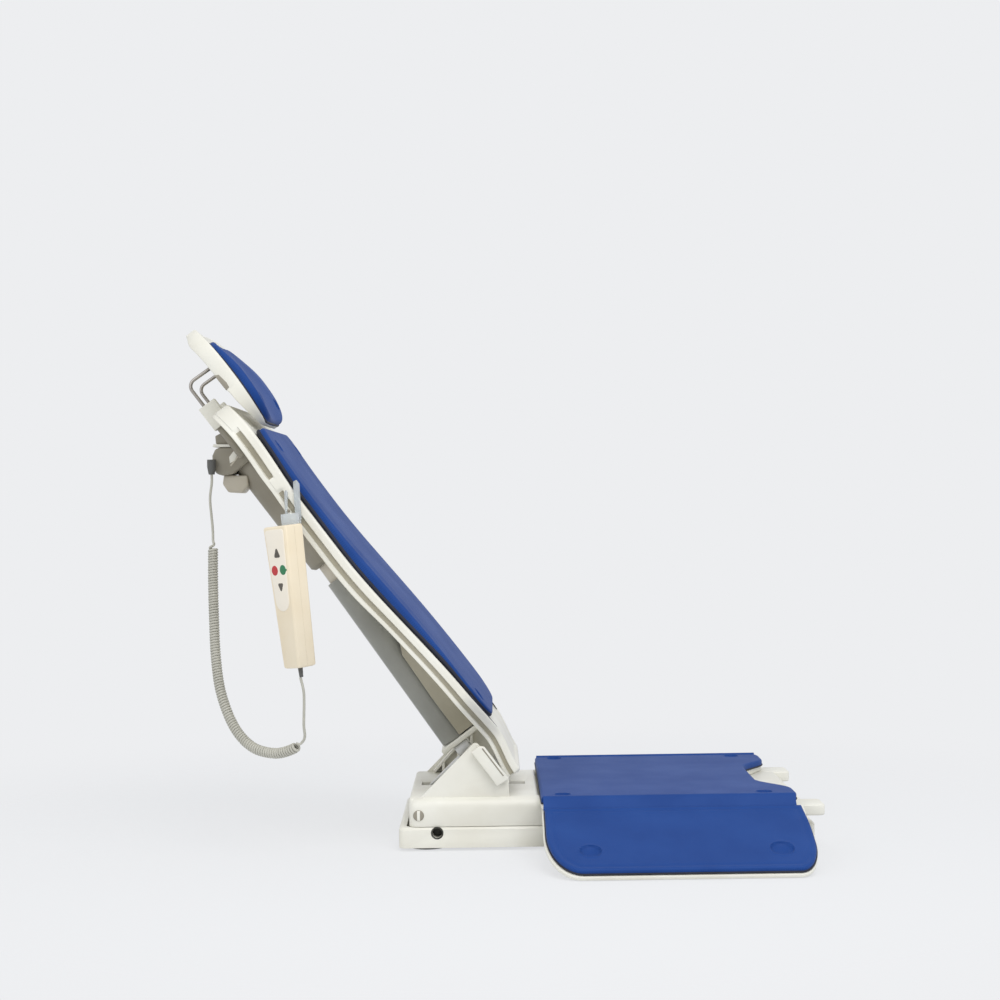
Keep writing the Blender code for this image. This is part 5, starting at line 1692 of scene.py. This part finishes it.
@dataclass
class Drive:
    """The actuator behind the backrest. Its outlines are in millimetres."""

    half_width: float = 32 * MM
    tube_radius: float = 21 * MM
    tube_foot: float = 64.5 * MM
    tube_head: float = 345 * MM
    axis_foot: float = -26.3 * MM
    axis_slope: float = 0.033
    collar_radius: float = 16.8 * MM
    collar_head: float = 380 * MM
    collar_lap: float = 2 * MM
    saddle: Corners = ((-14, 347), (14, 347), (14, 372), (-14, 372))
    saddle_inner: float = 14 * MM
    saddle_outer: float = 20 * MM
    socket_foot: float = 612 * MM
    socket_rounding: float = 2.2 * MM
    guide_radius: float = 5.4 * MM
    guide_foot: float = 560 * MM
    guide_head: float = 614 * MM
    guide_back: float = -18 * MM
    guide_across: float = 46 * MM
    web_inner: float = 22 * MM
    web_outer: float = 26 * MM
    web: Corners = (
        (-17.4, 66), (-16.6, 128), (-12.7, 204), (2, 234), (18.5, 238), (23, 200), (28, 120), (28, 66),
    )
    gear: Corners = (
        (-364, 514), (-378, 512), (-387, 514.5), (-392.5, 523), (-393, 540), (-389, 549), (-381, 552),
        (-350, 552), (-334, 551), (-329, 542),
    )
    wedge: Corners = ((-388, 556.5), (-389, 568), (-374, 575), (-351, 556.5))
    plate: Corners = ((-392, 552.3), (-348, 552.3), (-350, 556.2), (-391, 556.2))
    box: Corners = ((-378, 513), (-380, 500), (-372, 488.5), (-353, 487), (-344, 497), (-345, 512))
    clip: Corners = ((-368, 529), (-361, 533), (-356, 545), (-363, 546), (-369, 538))
    clip_stand: float = 1.5 * MM
    clip_sink: float = 2 * MM
    seam: Corners = ((-368, 526.2), (-366, 524.8), (-346.6, 550), (-348.6, 551.6))

    def on_axis(self, s: float) -> Vector:
        """A point of the tube's axis."""
        return BACK @ Vector((self.axis_foot + self.axis_slope * (s - self.tube_foot), 0, s))

    def length_of_tube(self, foot: float, head: float, radius: float, sides: int) -> Shape:
        """A round length along the tube's axis."""
        return sweep([self.on_axis(foot), self.on_axis(head)], [radius] * 2, sides)

    def build(self) -> None:
        """Dresses the tube, the motor, the gear head and what holds them."""
        for node, finish, width in (
            ("tube_flange", WHITE, 1.5 * MM),
            ("motor_housing", MOTOR_GREY, 1.2 * MM),
            ("cord_gland", RUBBER, 0.6 * MM),
        ):
            refine(node, finish, "backrest", width, 3)
        tube = self.length_of_tube(self.tube_foot, self.tube_head, self.tube_radius, 48)
        publish("drive_tube_skin", softened(tube, 1 * MM, 3), TUBE_GREY, "backrest", ["drive_tube"])
        collar_foot = self.tube_head - self.collar_lap
        clamp = [self.length_of_tube(collar_foot, self.collar_head, self.collar_radius, 40)]
        for side in reversed(Side):
            low, high = side.between(self.saddle_inner, self.saddle_outer)
            clamp.append(block(metres(self.saddle), low, high, BACK))
        publish("tube_clamp_skin", softened(joined(clamp), 1 * MM), NYLON, "backrest", ["tube_clamp"])
        self.build_head()
        for side in Side:
            # Each web is painted shade: a darker beige standing for the shadowed pocket round the tube.
            web = block(metres(self.web), *side.between(self.web_inner, self.web_outer), BACK)
            publish(f"tube_web_{side}", softened(web, 1 * MM), PAINTED_SHADE, "backrest")
            self.build_socket(side)

    def build_head(self) -> None:
        """The gear head with its cap, connector box, clip, seam and a wedge of painted shade."""
        wide = self.half_width
        for name, outline, half, finish, rounding, nodes in (
            ("gear_head_skin", self.gear, wide, MOTOR_GREY, 3.0 * MM, ["gear_head"]),
            # The wedge is a block in the motor's dark grey that stands for the shadowed hollow above the
            # gear cap.
            ("gear_wedge", self.wedge, wide - 4 * MM, MOTOR_GREY, 1.5 * MM, []),
            ("gear_cap_skin", self.plate, wide + 2 * MM, WHITE, 1.0 * MM, ["gear_cap"]),
            ("connector_box_skin", self.box, wide - 8 * MM, NYLON, 2.5 * MM, ["connector_box"]),
            ("gear_seam", self.seam, wide + 0.8 * MM, NYLON, 0.6 * MM, []),
        ):
            shape = block(metres(outline), -half, half, ORIGIN)
            publish(name, softened(shape, rounding, 3), finish, "backrest", nodes)
        clip = block(metres(self.clip), -wide - self.clip_stand, -wide + self.clip_sink, ORIGIN)
        publish("gear_clip", softened(clip, 1 * MM), WHITE, "backrest")

    def build_socket(self, side: Side) -> None:
        """One of the headrest's sockets, and below it the rod's guide, whose dark grey is partly painted
        shade.

        Args:
            side: The socket's side.
        """
        node = f"headrest_socket_{side}"
        shape = node_copy(node)
        shape.transform(BACK.inverted())
        for vert in shape.verts:
            vert.co.z = max(vert.co.z, self.socket_foot)
        shape.transform(BACK)
        skin = softened(shape, self.socket_rounding, 3)
        publish(f"{node}_skin", skin, WHITE, "backrest", [node])
        # The guide's dark grey is partly its own colour and partly painted shade between the socket and the
        # rim.
        guide = turned(oblong(0, self.guide_radius, self.guide_foot, self.guide_head), 24)
        guide.transform(BACK @ Matrix.Translation((self.guide_back, side.value * self.guide_across, 0)))
        publish(f"rod_guide_{side}", softened(guide, 0.8 * MM), MOTOR_GREY, "backrest")


# Headrest

@dataclass
class Headrest:
    """The sliding headrest on its two rods. The outline of each side wall's patch of painted shade is in
    millimetres.
    """

    bottom: float = 576 * MM
    length: float = 161 * MM
    half_width: float = 122 * MM
    corner: float = 52 * MM
    front_level: float = 35.5 * MM
    crown: float = 5 * MM
    curve: float = 6 * MM
    rear_curve: float = 12 * MM
    wall: float = 4 * MM
    depth: float = 26 * MM
    top_taper: float = 0.4
    top_taper_run: float = 24 * MM
    skirt_rear: float = 28 * MM
    skirt_lift: float = 3.7 * MM
    skirt_run: float = 45 * MM
    step: float = 52 * MM
    ramp: float = 16 * MM
    recess: Corners = ((26, 637), (32, 638), (33, 645), (31, 660), (25.5, 663))
    recess_depth: float = 3 * MM
    pad_length: float = 134 * MM
    pad_half_width: float = 112 * MM
    pad_corner: float = 50 * MM
    pad_thickness: float = 9 * MM
    pad_edge: float = 4.5 * MM
    pad_crown: float = 2.5 * MM
    pad_fill: float = 0.85
    # The dark cord round the pad's foot is painted shade for the shadow under its edge.
    pad_binding: Binding = Binding(1.4 * MM, 1.6 * MM, 1.3 * MM)
    pad_wing: float = 6.5 * MM
    wing_start: float = 4 * MM
    wing_run: float = 64 * MM
    dimple_height: float = 604 * MM
    dimple_across: float = 84 * MM
    dimple_size: Pair = (9 * MM, 3.5 * MM)
    rod_slim: float = 1.0 * MM

    def middle_front(self, s: float) -> float:
        """How far forward the middle of the shell's front lies, crowned up its length."""
        offset = (s - self.bottom - self.length / 2) / (self.length / 2)
        return self.front_level + self.crown * (1 - offset * offset)

    def surface(self, y: float, s: float) -> float:
        """How far forward the shell's front lies, curved round the head."""
        return self.middle_front(s) + self.curve * (y / self.half_width) ** 2

    def rim_depth(self, y: float, s: float) -> float:
        """How deep the rim is: shallow over the backrest, curved behind above it, thinner at the top.

        Args:
            y: The distance across.
            s: The height up the backrest.

        Returns:
            The depth.
        """
        ledge = self.bottom + self.step
        ramp = smoothstep((s - ledge) / self.ramp)
        skirt = self.skirt_rear + self.skirt_lift * smoothstep((ledge - s) / self.skirt_run)
        over = self.surface(y, s) - skirt
        above = self.depth + (self.curve - self.rear_curve) * (y / self.half_width) ** 2
        above *= 1 - self.top_taper * smoothstep((s - self.bottom - self.length) / self.top_taper_run + 1)
        return max(over + (above - over) * ramp, self.wall)

    def edge(self) -> Outline:
        """The right half of the shell's outline, from the lower middle to the upper middle.

        Returns:
            The outline as (across, up).
        """
        radius = (self.corner, self.corner)
        flat = self.half_width - self.corner
        low = self.bottom + self.corner
        high = self.bottom + self.length - self.corner
        steps = 30
        points = [(0.0, self.bottom)] + arc((flat, low), radius, -90, 0, 16)
        points += [(self.half_width, low + (high - low) * i / steps) for i in range(1, steps)]
        return points + arc((flat, high), radius, 0, 90, 16) + [(0.0, self.bottom + self.length)]

    def pad_span(self, s: float) -> Pair:
        """Where the pad starts and ends across.

        Args:
            s: The height up the backrest.

        Returns:
            The start and the end.
        """
        foot = (self.pad_corner, self.bottom + self.pad_corner - s)
        head = (self.pad_corner, s - (self.bottom + self.pad_length) + self.pad_corner)
        return rounded_span(self.pad_half_width, (foot, head))

    def pad_place(self, s: float, y: float, h: float) -> Vector:
        """A point of the pad, which grows thicker towards the sides, but not at its top.

        Args:
            s: The height up the backrest.
            y: The distance across.
            h: The height above the shell, on a pad of even thickness.

        Returns:
            The point.
        """
        below = self.bottom + self.pad_length - s
        wing = self.pad_wing * smoothstep((below - self.wing_start) / self.wing_run)
        swell = 1 + wing / self.pad_thickness * (y / self.half_width) ** 2
        return BACK @ Vector((self.surface(y, s) + FIT + h * swell, y, s))

    def build(self) -> None:
        """Dresses the shell, the pad and the rods."""
        section = [
            (12 * MM, -self.wall, 0), (8 * MM, -self.wall, 0), (5 * MM, 0, 0.3), (4.6 * MM, 0, 0.9),
            (3.6 * MM, 0, 1.0), (1 * MM, 0, 1.0), (0, 0, 0.94), (0, 0, 0.3), (0, -1 * MM, 0),
            (0.8 * MM, 1.2 * MM, 0), (2.6 * MM, 1.9 * MM, 0), (4.4 * MM, 1.4 * MM, 0),
            (6.5 * MM, 0.2 * MM, 0), (12 * MM, 0, 0),
        ]
        rim = Rim(self.edge(), self.surface, self.rim_depth)
        publish("headrest_shell_skin", rim.shell(section, 16), WHITE, "headrest", ["headrest_shell"])
        dimples = []
        for y in (-self.dimple_across, self.dimple_across):
            dimples.append(Dimple(self.dimple_height, y, *self.dimple_size))
        top = self.bottom + self.pad_length
        cover = Cover(
            first=self.bottom, last=top, span=self.pad_span, place=self.pad_place,
            thickness=self.pad_thickness, edge=self.pad_edge, crown=self.pad_crown, dimples=dimples,
            rows=48, columns=48,
        )
        cover.lay("headrest_cover", "headrest", self.pad_binding, self.pad_fill)
        for side in Side:
            self.build_rod(f"headrest_rod_{side}")
            # A thin block of the motor's dark grey on each side wall: painted shade standing for the
            # shadowed hollow of the shell.
            low, high = side.between(self.half_width - self.recess_depth, self.half_width + FIT)
            recess = block(metres(self.recess), low, high, BACK)
            publish(f"grip_recess_{side}", softened(recess, 0.3 * MM), MOTOR_GREY, "headrest")

    def build_rod(self, node: str) -> None:
        """A bent rod, a little slimmer than its solid.

        Args:
            node: The rod's name.
        """
        shape = node_copy(node)
        shape.normal_update()
        inward = [-self.rod_slim * vert.normal for vert in shape.verts]
        for vert, step in zip(shape.verts, inward):
            vert.co += step
        publish(f"{node}_skin", softened(shape, 0.5 * MM), ROD_STEEL, "headrest", [node])


# Handset and cord

@dataclass
class Handset:
    """The handset that hangs on the backrest's rim, and its curly cord.

    The hook's outlines, its screw's place, and the points that the cord passes through are in millimetres.
    """

    drop: Point = (-3.1 * MM, -200 * MM, -149.3 * MM)
    lean: float = math.radians(-6.3)
    turn: float = math.radians(-46)
    half_length: float = 93.5 * MM
    top_half: float = 24.3 * MM
    foot_half: float = 16.2 * MM
    face: float = 15 * MM
    corner: float = 3.4 * MM
    end_rounding: Corners = ((0.0, 2.4 * MM), (0.8 * MM, 0.9 * MM), (2.4 * MM, 0.0))
    plateau_top: float = 19.5 * MM
    plateau_half: float = 14 * MM
    plateau_foot: float = -18 * MM
    plateau_head: float = 9 * MM
    plateau_corner: float = 5 * MM
    plateau_rise: float = 0.9 * MM
    plateau_sink: float = 2 * MM
    plateau_rounding: float = 0.7 * MM
    plateau_sharp: float = math.radians(50)
    button_rounding: float = 0.8 * MM
    relief_share: float = 0.6
    hook_base: Corners = ((-0.4, 93.6), (22.5, 93.6), (22.5, 108), (-0.4, 108))
    hook_base_reach: Pair = (-5.6 * MM, 8 * MM)
    hook_shelf: Corners = ((-0.4, 93.6), (22.5, 93.6), (22.5, 98.8), (-0.4, 98.8))
    hook_shelf_reach: Pair = (8.1 * MM, 29.1 * MM)
    hook_tines: tuple[Corners, ...] = (
        ((0.5, 94), (5.1, 94), (5.6, 112), (8.7, 137), (6.5, 140), (4, 137)),
        ((14.1, 94), (22.2, 94), (25.5, 146), (22, 151.5), (17.3, 149)),
    )
    hook_tine_reach: Pair = (29.2 * MM, 31.7 * MM)
    peg_place: Pair = (19.5, 148)
    peg_radius: float = 2.5 * MM
    peg_length: float = 9.2 * MM
    screw_place: Pair = (7.1, 111.8)
    screw_radius: float = 2 * MM
    screw_height: float = 1.6 * MM
    wire: float = 3.6 * MM
    wire_sides: int = 8
    wire_step: float = 2 * MM
    lead_step: float = 4 * MM
    coil_radius: float = 7.3 * MM
    coil_pitch: float = 3.8 * MM
    coil_ease: float = 15 * MM
    loose_pitch: float = 18 * MM
    turn_points: int = 16
    curve_points: int = 16
    upper_lead: tuple[Point, ...] = (
        (-392.9, -38.6, 502), (-395.3, -40.5, 480), (-392.8, -46, 456), (-390.7, -51, 440),
    )
    coil: tuple[Point, ...] = (
        (-389.8, -54, 422), (-388.6, -66, 370), (-386, -80, 320), (-381.4, -97, 262), (-372.3, -114, 215),
        (-352.5, -134, 172), (-326, -153, 147), (-294, -172, 140.6), (-269, -186, 147.5),
        (-254.5, -193, 158),
    )
    lower_lead: tuple[Point, ...] = (
        (-251, -195.5, 166), (-252, -197, 179), (-251.5, -198, 196), (-251, -199, 212), (-251.4, -200, 226),
    )
    bend_start: Point = (-380, -100, 200)
    bend_end: Point = (-255, -198, 200)

    def upright(self) -> Matrix:
        """The handset's frame before it is turned about its own length."""
        grip = joint_place("handset") + Vector(self.drop)
        return Matrix.Translation(grip) @ Matrix.Rotation(self.lean, 4, "Y")

    def half_case(self, half: CaseHalf, place: Matrix) -> Mesh:
        """One half of the tapered case, on one side of its parting line.

        Args:
            half: The half.
            place: The handset's frame.

        Returns:
            The half's mesh.
        """
        levels = [(depth - self.half_length, shrink) for depth, shrink in self.end_rounding]
        levels += [(self.half_length - depth, shrink) for depth, shrink in reversed(self.end_rounding)]
        radii = (self.corner, self.corner)
        rings = []
        for z, shrink in levels:
            share = (z + self.half_length) / (2 * self.half_length)
            wide = self.foot_half + (self.top_half - self.foot_half) * share - shrink
            deep = self.face - shrink
            section = [(wide, FIT / 3)] + arc((wide - self.corner, deep - self.corner), radii, 0, 90, 6)
            section += arc((self.corner - wide, deep - self.corner), radii, 90, 180, 6) + [(-wide, FIT / 3)]
            rings.append([place @ Vector((x, half.value * y, z)) for x, y in section])
        return plain_mesh(loft(rings))

    def build(self) -> None:
        """Dresses the handset's shells, keypad, buttons, hook and strain relief."""
        place = self.upright() @ Matrix.Rotation(self.turn, 4, "Z")
        for half in CaseHalf:
            node = f"handset_{half.name.lower()}_shell"
            publish(f"{node}_skin", self.half_case(half, place), CREAM, "handset", [node])
        self.build_relief()
        self.build_plateau(place)
        for node, finish in (
            ("button_up", BUTTON_DARK),
            ("button_down", BUTTON_DARK),
            ("button_red", BUTTON_RED),
            ("button_green", BUTTON_GREEN),
        ):
            refine(node, finish, node, self.button_rounding, 3)
        self.build_hook()

    def build_plateau(self, place: Matrix) -> None:
        """The raised keypad, round at its foot.

        Args:
            place: The handset's frame.
        """
        low = self.plateau_foot + self.plateau_half
        high = self.half_length - self.plateau_head
        corner = (self.plateau_corner, self.plateau_corner)
        outline = arc((0, low), (self.plateau_half, self.plateau_half), 180, 360, 20)
        outline += arc((self.plateau_top - self.plateau_corner, high), corner, 0, 90, 5)
        outline += arc((self.plateau_corner - self.plateau_top, high), corner, 90, 180, 5)
        shape = block(outline, -self.face - self.plateau_rise, -self.face + self.plateau_sink, place)
        plateau = softened(shape, self.plateau_rounding, 3, self.plateau_sharp)
        publish("keypad_plateau", plateau, KEYPAD, "handset")

    def build_relief(self) -> None:
        """The slim strain relief at the handset's foot."""
        node = "handset_strain_relief"
        place = self.upright()
        shape = node_copy(node)
        shape.transform(place.inverted())
        middle = sum((v.co for v in shape.verts), Vector()) / len(shape.verts)
        for vert in shape.verts:
            vert.co.x = middle.x + (vert.co.x - middle.x) * self.relief_share
            vert.co.y = middle.y + (vert.co.y - middle.y) * self.relief_share
        shape.transform(place)
        publish(f"{node}_skin", softened(shape, 0.4 * MM), RUBBER, "handset", [node])

    def build_hook(self) -> None:
        """The clear hook: a block on the handset, a shelf behind it, two tines and a peg into the rim."""
        place = self.upright()
        near, far = self.hook_tine_reach
        parts = []
        for outline, reach in (
            (self.hook_base, self.hook_base_reach),
            (self.hook_shelf, self.hook_shelf_reach),
            *((tine, self.hook_tine_reach) for tine in self.hook_tines),
        ):
            parts.append(block(metres(outline), *reach, place))
        x, z = self.peg_place
        peg = turned(oblong(0, self.peg_radius, 0, self.peg_length), 20)
        outward = Matrix.Rotation(-math.pi / 2, 4, "X")
        peg.transform(place @ Matrix.Translation((x * MM, far, z * MM)) @ outward)
        hook = softened(joined([*parts, peg]), 0.5 * MM)
        publish("handset_hook_skin", hook, CLEAR, "handset", ["handset_hook"])
        x, z = self.screw_place
        screw = turned(oblong(0, self.screw_radius, 0, self.screw_height), 20)
        inward = Matrix.Rotation(math.pi / 2, 4, "X")
        screw.transform(place @ Matrix.Translation((x * MM, near, z * MM)) @ inward)
        publish("hook_screw", softened(screw, 0.4 * MM), MOTOR_GREY, "handset")

    @staticmethod
    def under(node: str) -> Vector:
        """The middle of the underside of a solid's box."""
        low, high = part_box(node)
        return Vector(((low.x + high.x) / 2, (low.y + high.y) / 2, low.z))

    def wound(self, centre: Sequence[Vector], step: float) -> list[Vector]:
        """The turns of the coil, which open out towards its two ends.

        Args:
            centre: Points of the coil's own middle line.
            step: How far apart they lie.

        Returns:
            The wire's points.
        """
        turns = []
        across = Vector((0, 1, 0))
        radius = self.coil_radius - self.wire / 2
        angle = 0.0
        for i, point in enumerate(centre):
            ahead = (centre[min(i + 1, len(centre) - 1)] - centre[max(i - 1, 0)]).normalized()
            across = (across - ahead * across.dot(ahead)).normalized()
            up = ahead.cross(across)
            wound = smoothstep(min(i, len(centre) - 1 - i) * step / self.coil_ease)
            turns.append(point + radius * wound * (math.cos(angle) * across + math.sin(angle) * up))
            tighter = wound**4 * (1 / self.coil_pitch - 1 / self.loose_pitch)
            angle += 2 * math.pi * step * (1 / self.loose_pitch + tighter)
        return turns

    def cord_path(self) -> list[Vector]:
        """The cord's centreline: a lead, the turns of the coil and a second lead.

        Returns:
            Its points, from the gland to the strain relief.
        """
        route = [ORIGIN @ (Vector(p) * MM) for p in self.upper_lead + self.coil + self.lower_lead]
        ends = self.under("cord_gland"), self.under("handset_strain_relief")
        curve = catmull([ends[0], *route, ends[1]], self.curve_points)
        coil_start = (1 + len(self.upper_lead)) * self.curve_points
        coil_end = (len(self.upper_lead) + len(self.coil)) * self.curve_points
        step = self.coil_pitch / self.turn_points
        turns = self.wound(evenly(curve[coil_start : coil_end + 1], step), step)
        upper = evenly(curve[: coil_start + 1], self.lead_step)[:-1]
        lower = evenly(curve[coil_end:], self.lead_step)[1:]
        return evenly(upper + turns + lower, self.wire_step)

    def build_cord(self) -> None:
        """The curly cord from the gland to the handset."""
        path = self.cord_path()
        length = sum((b - a).length for a, b in zip(path, path[1:]))
        wire = plain_mesh(sweep(path, [self.wire / 2] * len(path), self.wire_sides))
        nodes = ["cord_lead_upper", "cord_coil", "cord_lead_lower"]
        cord = publish("curly_cord", wire, CORD_GREY, None, nodes)
        bend_start = ORIGIN @ (Vector(self.bend_start) * MM)
        bend_end = ORIGIN @ (Vector(self.bend_end) * MM)
        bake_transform(cord)
        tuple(path[0])
        LOG.info("cord %.3f m", length)


# Stage

@dataclass(frozen=True)
class Lamp:
    """A soft lamp of the studio."""

    name: str
    place: Point
    size: float
    power: float

    def add(self, aim: Point) -> None:
        """Adds the lamp to the scene.

        Args:
            aim: The point that it faces.
        """
        data = bpy.data.lights.new(self.name, "AREA")
        data.size = self.size
        data.energy = self.power
        lamp = bpy.data.objects.new(self.name, data)
        lamp.location = self.place
        lamp.rotation_euler = (Vector(aim) - Vector(self.place)).to_track_quat("-Z", "Y").to_euler()
        bpy.context.scene.collection.objects.link(lamp)


@dataclass(frozen=True)
class Studio:
    """The camera, the floor and the light."""

    camera_place: Point = (-0.3 * MM, -2580.8 * MM, 471.9 * MM)
    yaw: float = math.radians(0.239)
    pitch: float = math.radians(0.013)
    roll: float = math.radians(-0.795)
    focal_pixels: float = 1814.7
    image_pixels: float = 1000.0
    sensor: float = 36.0
    backdrop: Colour = srgb(237, 238, 240)
    sky: Colour = (0.96, 0.98, 1.0, 1.0)
    sky_strength: float = 0.7
    lamps: tuple[Lamp, ...] = (
        Lamp("key", (0.7, -1.6, 2.3), 1.8, 32.0),
        Lamp("fill", (-1.6, -1.8, 1.4), 1.6, 9.0),
    )
    lamp_aim: Point = (0, 0, 0.25)
    floor_radius: float = 2.2
    floor_level: float = -0.2 * MM
    floor_glow: float = 0.75
    fade_start: float = 0.5
    fade_end: float = 1.3

    def add_camera(self) -> None:
        """Sets the camera at the photograph's viewing angle."""
        data = bpy.data.cameras.new("camera")
        data.sensor_width = self.sensor
        data.lens = self.focal_pixels / self.image_pixels * self.sensor
        camera = bpy.data.objects.new("camera", data)
        bpy.context.scene.collection.objects.link(camera)
        ahead = Vector((
            math.sin(self.yaw) * math.cos(self.pitch),
            math.cos(self.yaw) * math.cos(self.pitch),
            math.sin(self.pitch),
        ))
        level = ahead.cross(Vector((0, 0, 1))).normalized()
        upright = level.cross(ahead)
        right = math.cos(self.roll) * level + math.sin(self.roll) * upright
        up = math.cos(self.roll) * upright - math.sin(self.roll) * level
        turn = Matrix((right, up, -ahead)).transposed().to_4x4()
        camera.matrix_world = ORIGIN @ Matrix.Translation(self.camera_place) @ turn
        bpy.context.scene.camera = camera

    def add_light(self) -> None:
        """A pale world and two soft lamps."""
        scene = bpy.context.scene
        scene.view_settings.view_transform = "Standard"
        world = bpy.data.worlds.new("studio")
        scene.world = world
        world.use_nodes = True
        wiring = Wiring(world.node_tree)
        path = wiring.node("ShaderNodeLightPath")
        shown = path.outputs["Is Camera Ray"]
        for ray in ("Is Glossy Ray", "Is Transmission Ray"):
            either = wiring.node("ShaderNodeMath", {0: shown, 1: path.outputs[ray]}, operation="MAXIMUM")
            shown = either.outputs[0]
        soft = wiring.node("ShaderNodeBackground", {"Color": self.sky, "Strength": self.sky_strength})
        backdrop = wiring.node("ShaderNodeBackground", {"Color": self.backdrop, "Strength": 1.0})
        mix = wiring.node("ShaderNodeMixShader", {0: shown, 1: soft.outputs[0], 2: backdrop.outputs[0]})
        wiring.node("ShaderNodeOutputWorld", {"Surface": mix.outputs[0]})
        for lamp in self.lamps:
            lamp.add(self.lamp_aim)

    def add_floor(self) -> None:
        """A pale floor that fades into the backdrop."""
        bm = bmesh.new()
        bmesh.ops.create_circle(bm, cap_ends=True, segments=64, radius=self.floor_radius)
        disc = plain_mesh(bm, Matrix.Translation((0, 0, self.floor_level)))
        floor = bpy.data.objects.new("floor", disc)
        bpy.context.scene.collection.objects.link(floor)
        material = bpy.data.materials.new("floor")
        material.use_nodes = True
        wiring = Wiring(material.node_tree)
        place = wiring.node("ShaderNodeTexCoord")
        away = wiring.node("ShaderNodeVectorMath", {0: place.outputs["Object"]}, operation="LENGTH")
        fade = wiring.node(
            "ShaderNodeMapRange",
            {"Value": away.outputs["Value"], "From Min": self.fade_start, "From Max": self.fade_end},
            interpolation_type="SMOOTHSTEP",
        )
        path = wiring.node("ShaderNodeLightPath")
        inputs = {0: path.outputs["Is Camera Ray"], 1: self.floor_glow}
        share = wiring.node("ShaderNodeMath", inputs, operation="MULTIPLY")
        matt = wiring.node("ShaderNodeBsdfDiffuse", {"Color": self.backdrop})
        glow = wiring.node("ShaderNodeEmission", {"Color": self.backdrop})
        inputs = {0: share.outputs[0], 1: matt.outputs[0], 2: glow.outputs[0]}
        pale = wiring.node("ShaderNodeMixShader", inputs)
        clear = wiring.node("ShaderNodeBsdfTransparent")
        inputs = {0: fade.outputs["Result"], 1: pale.outputs[0], 2: clear.outputs[0]}
        mix = wiring.node("ShaderNodeMixShader", inputs)
        wiring.node("ShaderNodeOutputMaterial", {"Surface": mix.outputs[0]})
        floor.data.materials.append(material)


def main() -> None:
    """Builds the chair's looks, sub-assembly by sub-assembly."""
    logging.basicConfig(level=logging.INFO, format="%(message)s")
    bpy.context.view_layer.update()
    studio = Studio()
    studio.add_camera()
    studio.add_light()
    studio.add_floor()
    Base().build()
    seat = Seat()
    seat.build_seat()
    for side in Side:
        seat.build_flap(side)
    Backrest().build()
    Drive().build()
    Headrest().build()
    handset = Handset()
    handset.build()
    handset.build_cord()


if __name__ == "__main__":
    main()
